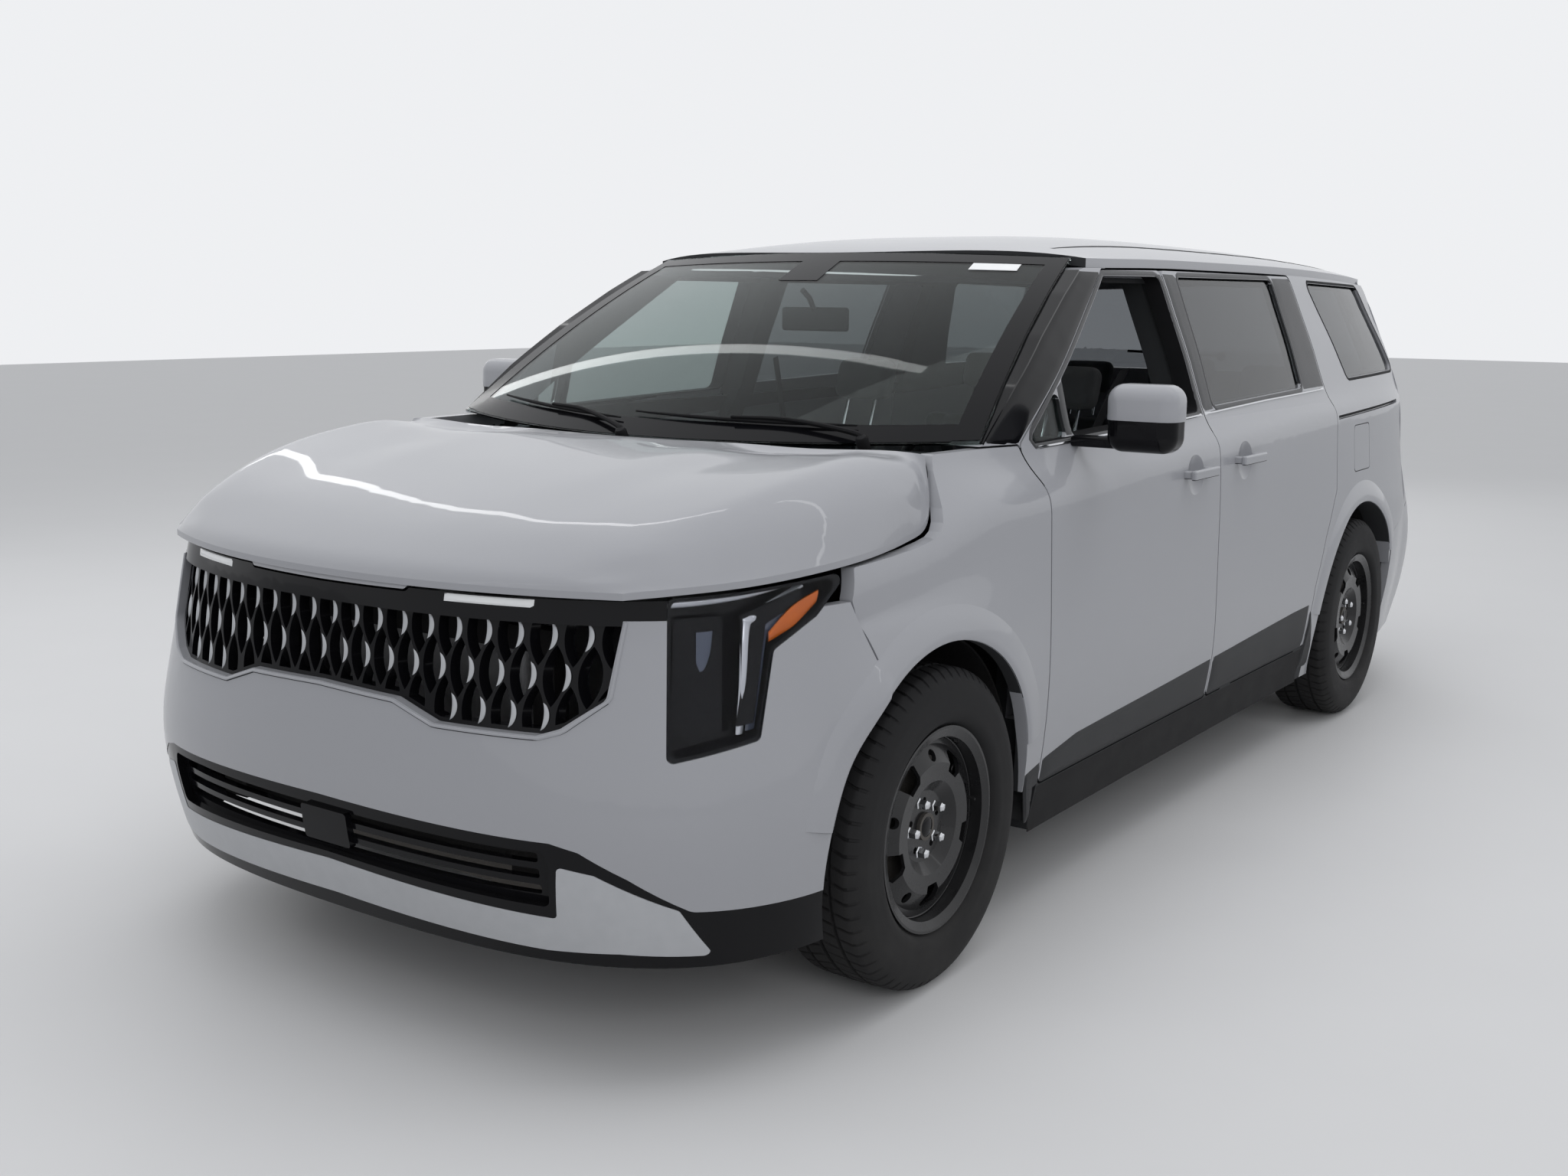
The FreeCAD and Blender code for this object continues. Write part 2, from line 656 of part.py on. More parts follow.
def roof_face():
    """The roof, from the windshield's top to the tail."""
    rows = []
    for y in (-641, -480, -250, 0, 350, 800, 1300, 1750, 2050, 2320):
        row = []
        for i in range(-7, 8):
            wide = math.sin(math.pi / 2 * i / 7)
            station = y
            if y < -250:
                station = y + 118 * wide ** 2 * (-250 - y) / 391
            x = wide * RAIL_X(station)
            row.append(spot(x, station, roof_z(x, station)))
        rows.append(row)
    return skin(rows)


ROOF_END = 2180


def roof_panel():
    """The roof forward of the tailgate, with the hinge plates that the tailgate hangs on."""
    sheet_metal = roof_face().extrude(UP * -size("roof_wall"))
    end = along(ROOF_END)
    panel = sheet_metal.common(block(-FAR, FAR, -FAR, end, 0, FAR))
    hinge = sheet_metal.common(block(300, 390, end - 1, end + GAP - SEAT, 0, FAR))
    return panel.fuse(hinge).fuse(turned_left(hinge))


def over_roof():
    """The space over the roof's upper face."""
    return roof_face().extrude(UP * 500)


HEADLAMP = [(758, -2335, 970), (848, -2200, 977), (912, -1940, 992), (905, -2046, 912),
            (880, -2158, 858), (891, -2216, 690), (784, -2375, 658)]
LIGHT_PIPE = [(862, -2254, 716), (858, -2231, 791), (841, -2213, 928), (868, -2052, 966),
              (880, -2064, 943), (864, -2160, 906), (866, -2206, 720)]
LAMP_BLOCK = [(768, -2326, 925), (815, -2236, 928), (832, -2262, 706), (792, -2366, 696)]
TAIL_LAMP = [(800, 2420, 1175), (860, 2170, 1150), (905, 2165, 1080), (905, 2230, 930),
             (812, 2440, 890)]
LAMP_REACH = (1500, 2900)


def corner_prism(points, rearward, gap=0.0, radius=14):
    """A block that cuts a corner of the van square across, from an outline drawn on its skin."""
    turn = math.sqrt(0.5)
    way = Vector(turn, rearward * turn, 0)
    flat = Vector(turn, -rearward * turn, 0)
    outline = [(spot(*point).dot(flat), spot(*point).z) for point in points]
    outline = inset(outline, gap)
    near = way * LAMP_REACH[0]
    face = rounded(outline, radius, lambda point: near + flat * point.x + UP * point.y)
    return face.extrude(way * (LAMP_REACH[1] - LAMP_REACH[0]))


GRILLE_OPENING = mirrored_outline([(0, 1040), (684, 1040), (690, 925), (680, 780), (605, 722),
                                   (560, 706), (330, 706), (225, 742), (0, 748)])
LOWER_TRIM = mirrored_outline([(0, 506), (600, 500), (655, 486), (738, 434), (826, 362),
                               (1100, 338), (1100, 160), (0, 160)])
LOWER_RECESS = mirrored_outline([(0, 488), (585, 482), (596, 450), (585, 362), (0, 374)])
GARNISH = mirrored_outline([(0, 358), (596, 338), (612, 452), (680, 440), (808, 366),
                            (842, 262), (700, 268), (560, 262), (0, 274)])
REAR_BUMPER = [(1860, 215), (2640, 215), (2640, 752), (2330, 752), (2200, 722), (1860, 640)]
TAILGATE = mirrored_outline([(0, 1760), (640, 1760), (650, 1640), (765, 1275), (806, 1150),
                             (806, 820), (780, 762), (0, 762)])
REAR_WINDOW = mirrored_outline([(0, 1590), (590, 1575), (690, 1250), (650, 1222), (0, 1222)])


def both(solid):
    """A left-hand solid and its mirror image, as one shape of two solids."""
    return Part.makeCompound([solid, turned_left(solid)])


def nose_cuts(shape):
    """Clears the nose of the lamps, the fenders and the arches."""
    lamp = corner_prism(HEADLAMP, -1, -2 * SEAT)
    behind = side_prism(fender_outline(), 10, gap=-GAP)
    for cutter in (lamp, behind, front_arch):
        shape = shape.cut(cutter).cut(turned_left(cutter))
    return shape


def front_bumper():
    """The painted bumper that wraps from arch to arch, with its openings."""
    region = block(-FAR, FAR, -FAR, along(-1850), above(230), above(PAINT_TOP))
    shell = nose_cuts(nose_part(0, size("bumper_wall"), region))
    shell = shell.cut(front_prism(GRILLE_OPENING, 20))
    shell = shell.cut(front_prism(LOWER_TRIM, 20))
    bracket = block(180, 240, along(-2562), beam_front() - SEAT, 556, 582)
    return shell.fuse(bracket).fuse(turned_left(bracket))


def beam_front():
    """Station of the front face of the beam behind the bumper."""
    return along(-2425) - size("beam_depth")


def garnish():
    """The silver strip along the bumper's foot, which rises into a corner at each end."""
    return nose_part(0, size("bumper_wall") - 4, front_prism(GARNISH, 10))


LATTICE_TOP, BAND_FOOT = 920, 919
LATTICE_ROWS = (895, 817, 739)
LEAF_HALF, LEAF_TALL = 21.5, 60


def leaf(x, z):
    """One cell of the lattice: the leaf-shaped space between two bars that wave apart."""
    tip, foot = Vector(x, 0, z + LEAF_TALL), Vector(x, 0, z - LEAF_TALL)
    left = Part.Arc(foot, Vector(x - LEAF_HALF, 0, z), tip).toShape()
    right = Part.Arc(tip, Vector(x + LEAF_HALF, 0, z), foot).toShape()
    return Part.Face(Part.Wire([left, right]))


def lattice_face():
    """The upper grille seen from the front: its outline with rows of leaves cut out."""
    pitch = size("grille_pitch")
    count = int(across(700) / pitch) + 1
    below = front_face([(-900, 640), (900, 640), (900, LATTICE_TOP), (-900, LATTICE_TOP)], 0)
    leaves = []
    for row, z in enumerate(LATTICE_ROWS):
        shift = 0.5 * (row % 2)
        leaves += [leaf((k + shift) * pitch, above(z)) for k in range(-count, count + 1)]
    rim_free = front_face(GRILLE_OPENING, 20, gap=size("grille_rim")).common(below)
    leaves = Part.makeCompound(leaves).common(rim_free)
    return front_face(GRILLE_OPENING, 20, gap=SEAT).common(below).cut(leaves)


def upper_grille():
    """The wave lattice, and the gloss band that runs over it from lamp to lamp."""
    recess = size("grille_recess")
    depth = recess + size("grille_depth")
    lattice = nose_part(recess, depth, lattice_face().extrude(REARWARD * -FAR))
    opening = front_prism(GRILLE_OPENING, 20, gap=SEAT)
    over_paint = block(-FAR, FAR, -FAR, 0, above(PAINT_TOP) + SEAT, FAR)
    space = block(-across(760), across(760), -FAR, 0, above(BAND_FOOT), above(BAND_TOP))
    band = nose_part(2, depth, space.common(opening.fuse(over_paint)))
    band = band.cut(front_prism(TONGUE, 12, gap=-GAP))
    lamp = corner_prism(HEADLAMP, -1, -2 * SEAT)
    return lattice.fuse(band.cut(lamp).cut(turned_left(lamp)))


def lower_trim():
    """The black trim below the painted bumper, with the lower grille and its sensor plate."""
    trim = nose_part(1, size("bumper_wall") + 14, front_prism(LOWER_TRIM, 20, gap=SEAT))
    trim = trim.common(block(-FAR, FAR, -FAR, along(-1850), above(236), FAR))
    trim = nose_cuts(trim.cut(front_prism(GARNISH, 10, gap=-SEAT)))
    trim = trim.cut(nose_part(-5, 20, front_prism(LOWER_RECESS, 16)))
    for z in SLOTS:
        slot = [(-560, z), (560, z), (560, z + 20), (-560, z + 20)]
        trim = trim.cut(front_prism(slot, 6))
    return trim.fuse(nose_part(8, 24, front_prism(SENSOR_PLATE, 8)))


SLOTS = (382, 416, 450)
SENSOR_PLATE = [(-72, 392), (72, 392), (72, 470), (-72, 470)]


def grille():
    """The upper grille and the trim with the lower one."""
    return Part.makeCompound([upper_grille(), lower_trim()])


def headlamp_lenses():
    """The clear covers of the headlamps."""
    return both(nose_part(1.5, 5.5, corner_prism(HEADLAMP, -1, SEAT)))


def headlamp_housings():
    """The dark bowls behind the covers, each with its lamp block and its bent light pipe."""
    bowl = nose_part(5.5 + SEAT, 95, corner_prism(HEADLAMP, -1, SEAT))
    bowl = bowl.cut(nose_part(0, 70, corner_prism(HEADLAMP, -1, 7)))
    pipe = nose_part(20, 72, corner_prism(LIGHT_PIPE, -1, 0, 3))
    lamp_block = nose_part(34, 72, corner_prism(LAMP_BLOCK, -1, 0, 8))
    return both(bowl.fuse(pipe).fuse(lamp_block))


def rear_bumper():
    """The rear bumper, from arch to arch."""
    region = side_prism(REAR_BUMPER, 10, inner=-FAR, outer=FAR)
    shell = tail_part(0, size("bumper_wall") + 20, region)
    bracket = block(432, 488, along(2350) + SEAT, along(2468), 258, 312)
    return shell.fuse(bracket).fuse(turned_left(bracket))


def corner_panel():
    """The left rear corner between the side window, the tailgate and the bumper."""
    region = [(2150, 640), (2640, 640), (2640, 1720), (2150, 1720)]
    panel = tail_part(0, size("tailgate_wall"), side_prism(region, 0))
    panel = panel.cut(over_roof().translated(UP * -(size("roof_wall") + SEAT)))
    return panel.cut(front_prism(TAILGATE, 20, back=0, front=FAR, gap=-GAP))


def tailgate():
    """The tailgate, with its window opening and the lip that carries the roof line back."""
    shell = tail_part(0, size("tailgate_wall"), front_prism(TAILGATE, 20, back=0, front=FAR))
    shell = shell.cut(over_roof())
    shell = shell.common(block(-FAR, FAR, along(ROOF_END) + GAP, FAR, 0, FAR))
    lip = roof_face().extrude(UP * -size("roof_wall"))
    lip = lip.common(front_prism(TAILGATE, 20, back=0, front=FAR))
    plan = [(-632, 2180), (632, 2180), (604, 2292), (-604, 2292)]
    plan = [(across(x), along(y) + GAP) for x, y in plan]
    foot = rounded(plan, [0, 0, 70, 70], lambda point: Vector(point.x, point.y, 0))
    lip = lip.common(foot.extrude(UP * FAR))
    panel = shell.fuse(lip)
    for side in (-0.5, 0.5):
        start = Vector(side * size("plate_bolt_span"), 0, above(955))
        panel = panel.cut(rod(start, start + REARWARD * FAR, size("plate_bolt_hole")))
    return panel.cut(front_prism(REAR_WINDOW, 30, back=0, front=FAR))


def tailgate_glass():
    """The rear window."""
    region = front_prism(REAR_WINDOW, 30, back=0, front=FAR, gap=SEAT)
    return tail_part(8, 8 + size("glass_wall"), region)


def tail_lamps():
    """The lamps on the rear corners."""
    lamp = tail_part(0, size("tailgate_wall") - 10, corner_prism(TAIL_LAMP, 1, SEAT))
    return both(lamp.cut(front_prism(TAILGATE, 20, back=0, front=FAR, gap=-GAP)))


def whole_side():
    """The left body side with its rear corner."""
    ring = body_side().fuse(corner_panel())
    ring = ring.cut(side_prism(REAR_BUMPER, 10, gap=-GAP))
    ring = ring.cut(corner_prism(TAIL_LAMP, 1, -SEAT))
    slot = side_prism(SLIDE_SLOT, 5).common(outer_plate(SLIDE_SLOT_DEPTH + 20, 20))
    return ring.cut(slot)


def strut_line():
    """Lower and upper ends of the line that a front wheel steers about, and its direction."""
    low = Vector(WHEEL_X - 68, FRONT_AXLE, WHEEL_Z - 134)
    high = Vector(WHEEL_X - 228, FRONT_AXLE, WHEEL_Z + 506)
    return low, high, (high - low).normalize()


def rod(start, end, radius):
    """A round bar between two points."""
    return Part.makeCylinder(radius, (end - start).Length, start, end - start)


def joined(shapes):
    """Fuses shapes into one."""
    whole = shapes[0]
    for shape in shapes[1:]:
        whole = whole.fuse(shape)
    return whole.removeSplitter()


def softened(shape, radius):
    """Rounds every edge of a plain block."""
    return shape.makeFillet(radius, shape.Edges)


def floor_pan():
    """The cabin floor with its sills, its rails and the rear wheelhouses."""
    wall = size("floor_wall")
    front, rear = along(-1105), along(2350)
    half = across(900)
    pan = block(-half, half, front, rear, FLOOR - wall, FLOOR)
    sill = block(half - size("sill_width"), half, front, along(985), size("sill_bottom"), FLOOR - wall)
    rail_in, rail_out = 420, 420 + size("rail_width")
    rail = block(rail_in, rail_out, front, along(1000), FLOOR - wall - 90, FLOOR - wall)
    rear_rail = block(rail_in, rail_out, along(1960), rear, FLOOR - wall - 60, FLOOR - wall)
    house_in = WHEEL_X - size("tyre_width") / 2 - 46
    radius = ARCH["rear"] + 2
    house = axle_cylinder(radius + 6, REAR_AXLE, house_in - 6, half + 20)
    house = house.common(block(0, FAR, -FAR, FAR, FLOOR - wall, FAR))
    hollow = axle_cylinder(radius, REAR_AXLE, house_in, FAR)
    left = joined([sill, rail, rear_rail, house])
    whole = joined([pan, left, turned_left(left)])
    whole = whole.cut(hollow).cut(turned_left(hollow))
    inside_tail = wrap(tail_outline, TAIL_LEVELS, size("bumper_wall") + 20 + SEAT)
    whole = whole.cut(block(-FAR, FAR, along(2100), FAR, 0, 700).cut(inside_tail))
    side = outer_plate(size("door_wall") + SEAT)
    side = side.fuse(outer_plate(FRAME_DEPTH + SEAT).common(block(0, FAR, -FAR, along(985) + SEAT, 0, FAR)))
    return whole.cut(side).cut(turned_left(side))


def front_frame():
    """Rails, strut towers, wheelhouse liners, bulkhead and radiator frame ahead of the cabin."""
    low, high, way = strut_line()
    rail_in, rail_out = 430, 430 + size("rail_width")
    rail = block(rail_in, rail_out, along(-2440), along(-1130), 380, 380 + size("rail_depth"))
    tower_wall = 8
    tower = Part.makeCylinder(106, 122, high + way * -112, way)
    tower = tower.cut(Part.makeCylinder(106 - tower_wall, 112 + SEAT, high + way * -112, way))
    inner_wall = block(rail_in + 60, rail_in + 80, FRONT_AXLE - 110, FRONT_AXLE + 110, 470, high.z - 20)
    shelf = block(rail_in + 60, high.x - 60, FRONT_AXLE - 110, FRONT_AXLE + 110, high.z - 70, high.z - 20)
    shelf = shelf.cut(Part.makeCylinder(104, 300, high + way * -200, way))
    radius = ARCH["front"] + 3
    liner = axle_cylinder(radius + 5, FRONT_AXLE, 560, FAR).cut(axle_cylinder(radius, FRONT_AXLE, 0, FAR))
    liner = liner.common(block(0, FAR, -FAR, FAR, 420, FAR))
    liner = liner.cut(outer_plate(size("skin_wall") + 3 * SEAT))
    liner = liner.cut(Part.makeCylinder(104, 300, high + way * -200, way))
    liner = liner.common(block(0, across(912), -FAR, FAR, 0, FAR))
    bridge = block(rail_out - 4, 580, FRONT_AXLE - radius - 60, FRONT_AXLE - radius + 26, 430, 480)
    bridge = bridge.cut(axle_cylinder(radius, FRONT_AXLE, 0, FAR))
    rear_bridge = block(rail_out - 4, 580, FRONT_AXLE + radius - 26, along(-1130), 430, 480)
    rear_bridge = rear_bridge.cut(axle_cylinder(radius, FRONT_AXLE, 0, FAR))
    fender_seat = outer_plate(size("skin_wall") + SEAT)
    bracket = block(753, across(960), FRONT_AXLE - 20, FRONT_AXLE + 20, 838, 850).cut(fender_seat)
    left = joined([rail, inner_wall, shelf, tower, bracket, liner, bridge, rear_bridge])
    rear = along(-1105) - SEAT
    low = FLOOR - size("floor_wall")
    bulkhead = block(-across(845), across(845), along(-1130), rear, low, above(1100) - SEAT)
    side = outer_plate(FRAME_DEPTH + SEAT)
    bulkhead = bulkhead.cut(side).cut(turned_left(side))
    support = block(-520, 520, along(-2400), along(-2360), 380, above(890))
    support = support.cut(block(-460, 460, -FAR, 0, 430, above(840)))
    under_hood = hood_face().extrude(UP * 200)
    under_hood.translate(UP * -(size("hood_wall") + SEAT))
    stop = block(300, 340, along(-2396), along(-2364), above(880), above(1100)).cut(under_hood)
    support = joined([support, stop, turned_left(stop)])
    nose = along(-2425)
    beam = softened(block(-480, 480, beam_front(), nose, 500, 600), 18)
    tie = block(rail_in, rail_out - 30, nose - 4, nose + 4, 420, 560)
    left = joined([left, tie])
    return joined([bulkhead, support, beam, left, turned_left(left)])


def front_suspension():
    """The subframe with the lower arm that carries each front wheel."""
    low, high, way = strut_line()
    wall = size("arm_wall")
    z = low.z - wall / 2
    cradle = block(-480, 480, along(-2190), along(-1480), z, z + 56)
    cradle = cradle.cut(block(-300, 300, along(-2050), along(-1620), 0, FAR))
    reach = low.x
    points = [(440, -190), (440, 190), (560, 92), (reach - 110, 34), (reach, 34), (reach, -34),
              (reach - 110, -34), (560, -92)]
    face = rounded(points, 12, lambda point: Vector(point.x, FRONT_AXLE + point.y, z))
    arm = face.extrude(UP * wall).fuse(Part.makeCylinder(34, wall, Vector(reach, FRONT_AXLE, z)))
    arm = arm.cut(Part.makeCylinder(17.5, 3 * wall, Vector(reach, FRONT_AXLE, z - wall)))
    posts = [block(436, 476, y, y + 60, z + 50, 380 - SEAT) for y in (along(-2180), along(-1560))]
    left = joined([arm] + posts)
    return joined([cradle, left, turned_left(left)])


def hub_parts(axle):
    """Hub carrier, brake disc, caliper and wheel flange of the left side."""
    face = WHEEL_X + size("rim_disc_out") - size("rim_disc_wall") - SEAT
    disc_face = face - 12
    disc = axle_cylinder(size("disc_radius"), axle, disc_face - size("disc_wall"), disc_face)
    flange = axle_cylinder(size("hub_radius"), axle, disc_face, face)
    spigot = axle_cylinder(size("wheel_centre_bore") - SEAT, axle, face, face + 18)
    carrier = axle_cylinder(52, axle, WHEEL_X - 82, disc_face)
    caliper = axle_cylinder(size("disc_radius") + 18, axle, disc_face - 62, disc_face + 8)
    caliper = caliper.cut(axle_cylinder(98, axle, 0, FAR))
    caliper = caliper.common(block(0, FAR, axle + 60, axle + 220, WHEEL_Z - 80, WHEEL_Z + 80))
    arm = block(WHEEL_X - 82, disc_face - 30, axle + 20, axle + 130, WHEEL_Z - 24, WHEEL_Z + 24)
    return joined([disc, flange, spigot, carrier, caliper, arm])


def knuckle():
    """A front knuckle with its hub, brake and strut."""
    low, high, way = strut_line()
    hub = hub_parts(FRONT_AXLE)
    ball = Part.makeSphere(17, low)
    stem = rod(low, low + way * 70, 13)
    foot = block(low.x - 22, low.x + 36, FRONT_AXLE - 26, FRONT_AXLE + 26, low.z + 40, WHEEL_Z)
    seat = Vector(WHEEL_X - 178, FRONT_AXLE, WHEEL_Z + 104)
    neck = block(seat.x - 18, WHEEL_X - 36, FRONT_AXLE - 26, FRONT_AXLE + 26, WHEEL_Z + 72, WHEEL_Z + 112)
    post = block(WHEEL_X - 82, WHEEL_X - 36, FRONT_AXLE - 26, FRONT_AXLE + 26, WHEEL_Z, WHEEL_Z + 90)
    tube = rod(seat, high + way * -20, size("strut_radius"))
    spring_seat = Part.makeCylinder(70, 8, high + way * -130, way)
    mount = Part.makeCylinder(58, 30, high + way * -30, way)
    coil = Part.makeCylinder(52, 110, high + way * -128, way)
    return joined([hub, ball, stem, foot, post, neck, tube, spring_seat, coil, mount])


def rear_suspension():
    """The rear crossmember with its arms, hubs and brakes."""
    hub = hub_parts(REAR_AXLE)
    z = WHEEL_Z - 118
    carrier = block(WHEEL_X - 100, WHEEL_X - 40, REAR_AXLE - 40, REAR_AXLE + 40, z, WHEEL_Z + 30)
    arm = block(300, WHEEL_X - 60, REAR_AXLE - 26, REAR_AXLE + 26, z, z + 34)
    trail_in, trail_out = WHEEL_X - 168, WHEEL_X - 134
    trail = block(trail_in, trail_out, along(950), REAR_AXLE + 36, z, z + 46)
    trail = trail.fuse(block(trail_out - 4, WHEEL_X - 96, REAR_AXLE - 36, REAR_AXLE + 36, z, z + 46))
    stop = FLOOR - size("floor_wall") - SEAT
    bush = block(trail_in, trail_out, along(950), along(950) + 40, z, stop)
    left = joined([hub, carrier, arm, trail, bush])
    cross = softened(block(-430, 430, REAR_AXLE - 90, REAR_AXLE + 90, z - 20, z + 30), 10)
    spring = Part.makeCylinder(55, stop - z - 20, Vector(340, REAR_AXLE + 10, z + 20))
    return joined([cross, left, turned_left(left), spring, turned_left(spring)])


def exhaust():
    """The exhaust pipe and its silencer."""
    radius, muffler = size("exhaust_radius"), size("muffler_radius")
    under = FLOOR - size("floor_wall")
    x, z = -300, 162 + radius
    front, rear = along(-1430), along(2050)
    pipe = rod(Vector(x, front, z), Vector(x, rear, z), radius)
    middle = under - muffler - 10
    box = Part.makeCylinder(muffler, 560, Vector(x - 80, rear, middle), LEFTWARD)
    tail_x = x + 420
    tail = rod(Vector(tail_x, rear, middle), Vector(tail_x, along(2440), middle), radius)
    hollow = rod(Vector(tail_x, along(2300), middle), Vector(tail_x, along(2460), middle), radius - 3)
    hangers = [rod(Vector(x, along(y), z), Vector(x, along(y), under - SEAT), 9) for y in (-700, 700)]
    hangers.append(rod(Vector(x + 200, rear, middle), Vector(x + 200, rear, under - SEAT), 9))
    whole = pipe.fuse(box).fuse(tail)
    for hanger in hangers:
        whole = whole.fuse(hanger)
    return whole.cut(hollow)


def fuel_tank():
    """The fuel tank under the floor."""
    top = FLOOR - size("floor_wall") - SEAT
    return softened(block(-200, 400, along(60), along(960), top - 115, top), 18)


def engine():
    """The engine and gearbox as one plain block on the subframe."""
    low, high, way = strut_line()
    deck = low.z - size("arm_wall") / 2 + 56 + SEAT
    mass = softened(block(-360, 330, along(-2280), along(-1800), deck + 60, above(880)), 30)
    feet = block(-380, 380, along(-2170), along(-2080), deck, deck + 100)
    return joined([mass, feet])


def seat_shape(x, y, width, cushion_z, back, headrests):
    """A seat on its pedestal: cushion, raked back and head restraints."""
    depth, rake = 500, math.radians(20)
    cushion = softened(block(x - width / 2, x + width / 2, y - 290, y + depth - 290, cushion_z, cushion_z + 130), 34)
    rest = softened(block(x - width / 2 + 12, x + width / 2 - 12, 0, 130, 0, back), 38)
    rest.rotate(Vector(0, 0, 0), LEFTWARD, -math.degrees(rake))
    rest.translate(Vector(0, y + 130, cushion_z + 60))
    foot = block(x - width / 2 + 70, x + width / 2 - 70, y - 200, y + 160, FLOOR, cushion_z + 30)
    shapes = [cushion, rest, foot]
    lean = Vector(0, math.sin(rake), math.cos(rake))
    for offset in headrests:
        top = Vector(x + offset, y + 200, cushion_z + 75) + lean * (back - 20)
        head = softened(block(-125, 125, -48, 42, 0, 165), 34)
        head.rotate(Vector(0, 0, 0), LEFTWARD, -math.degrees(rake))
        head.translate(top + lean * 62)
        shapes.append(head)
        for side in (-55, 55):
            shapes.append(rod(top + Vector(side, 0, -30), top + Vector(side, 0, 0) + lean * 90, 6))
    return joined(shapes)


def dashboard():
    """The dashboard with its console and the steering column."""
    shelf = 1128 - SEAT / above(1)
    points = [(-1470, shelf), (-1100, shelf), (-760, 1062), (-690, 1000), (-700, 900), (-840, 720),
              (-1105, 640), (-1105, 1100), (-1470, 1100)]
    outline = [(along(y), above(z)) for y, z in points]
    half = across(775)
    radii = [0, 14, 40, 30, 40, 40, 0, 0, 0]
    face = rounded(outline, radii, lambda point: Vector(-half, point.x, point.y))
    board = face.extrude(LEFTWARD * (2 * half))
    console = softened(block(-110, 110, along(-1000), along(-560), FLOOR, above(760)), 24)
    hub, way = steering_place()
    column = rod(hub + way * -34, hub + way * -330, 34)
    return joined([board, console, column])


def steering_place():
    """Centre of the steering wheel, and the way its axle points, at the driver."""
    tilt = math.radians(24)
    return Vector(385, along(-560), above(1000)), Vector(0, math.cos(tilt), math.sin(tilt))


def steering_wheel():
    """The steering wheel: rim, boss and four spokes."""
    hub, way = steering_place()
    ring = Part.makeTorus(182, 15, Vector(0, 0, 0), UP)
    boss = softened(Part.makeCylinder(66, 52, Vector(0, 0, -30), UP), 10)
    spokes = [block(-178, 178, -16, 16, -9, 5), block(-18, 18, -178, 0, -9, 5)]
    wheel = joined([ring, boss] + spokes)
    stub = Part.makeCylinder(24, 5, Vector(0, 0, -34 + SEAT), UP)
    wheel = joined([wheel, stub])
    wheel.rotate(Vector(0, 0, 0), LEFTWARD, math.degrees(math.acos(way.z)) * -1)
    wheel.translate(hub)
    return wheel


def mirror():
    """A door mirror: a rounded housing on a short arm."""
    x_in, x_out = across(1003), across(1186)
    y, low, top = along(-875), above(1166), above(1333)
    housing = softened(block(x_in, x_out, y - 58, y + 52, low, top), 40)
    arm = block(side_x(-900, 1170) * across(1) - 6, x_in + 60, y - 30, y + 20, above(1172), above(1200))
    housing = housing.fuse(softened(arm, 8))
    return housing.cut(outer_plate(200, SEAT))


def cowl():
    """The panel between the hood's rear edge and the windshield."""
    steps = [k / 6 for k in range(-6, 7)]
    front = [Vector(across(u * 850), along(HOOD_REAR_MIDDLE + 45 * u * u) + GAP, 0) for u in steps]
    rear = [Vector(across(u * 850), along(-1490 + 150 * u * u), 0) for u in reversed(steps)]
    loop = Part.makePolygon(front + rear + [front[0]])
    loop.translate(UP * above(1128))
    panel = Part.Face(loop).extrude(UP * (above(1172) - above(1128)))
    side = both(outer_plate(size("door_wall") + GAP))
    fender_space = both(side_prism(fender_outline(), 10, inner=across(790), gap=-GAP))
    return panel.cut(side).cut(fender_space)


FLAP_WALL = 10


def flap():
    """The lid over the fuel filler."""
    return outer_plate(FLAP_WALL).common(side_prism(FUEL_FLAP, 18))


def measured(terms):
    """The value of a sum of sizes and plain numbers, and the same sum as a sheet expression."""
    value, words = 0.0, []
    for term in terms:
        if isinstance(term, tuple):
            factor, name = term
            value += factor * size(name)
            words.append(f"{factor} * sizes.{name}")
        else:
            value += term
            words.append(str(term))
    return value, " + ".join(words)


def plane_of(body, role):
    """One of a body's own origin planes or axes."""
    return next(item for item in body.Origin.OriginFeatures if item.Role == role)


def profile(body, name, role, points):
    """A closed sketch of straight sides, each corner placed by sums of sizes."""
    sketch = body.newObject("Sketcher::SketchObject", name)
    sketch.AttachmentSupport = [(plane_of(body, role), "")]
    sketch.MapMode = "FlatFace"
    corners = [(measured(right), measured(up)) for right, up in points]
    count = len(corners)
    for k in range(count):
        start, stop = corners[k], corners[(k + 1) % count]
        side = Part.LineSegment(Vector(start[0][0], start[1][0], 0), Vector(stop[0][0], stop[1][0], 0))
        sketch.addGeometry(side, False)
    for k in range(count):
        sketch.addConstraint(Sketcher.Constraint("Coincident", k, 2, (k + 1) % count, 1))
    for k, (right, up) in enumerate(corners):
        for kind, (value, words) in (("DistanceX", right), ("DistanceY", up)):
            index = sketch.addConstraint(Sketcher.Constraint(kind, k, 1, value))
            sketch.setExpression(f"Constraints[{index}]", words)
    return sketch


def turned(body, name, sketch):
    """Turns a sketch once round the body's own Z axis."""
    ring = body.newObject("PartDesign::Revolution", name)
    ring.Profile = sketch
    ring.ReferenceAxis = (sketch, ["V_Axis"])
    ring.Angle = 360
    return ring


def cut_round(body, name, sketch, count, start=0.0):
    """Cuts a sketch right through, and repeats the cut round the axis."""
    hole = body.newObject("PartDesign::Pocket", name)
    hole.Profile = sketch
    hole.Type = "ThroughAll"
    hole.Midplane = True
    doc.recompute()
    ring = body.newObject("PartDesign::PolarPattern", name + "_round")
    ring.Originals = [hole]
    ring.Axis = (plane_of(body, "Z_Axis"), [""])
    ring.Angle = 360
    ring.Occurrences = count
    body.Tip = ring
    doc.recompute()
    return ring


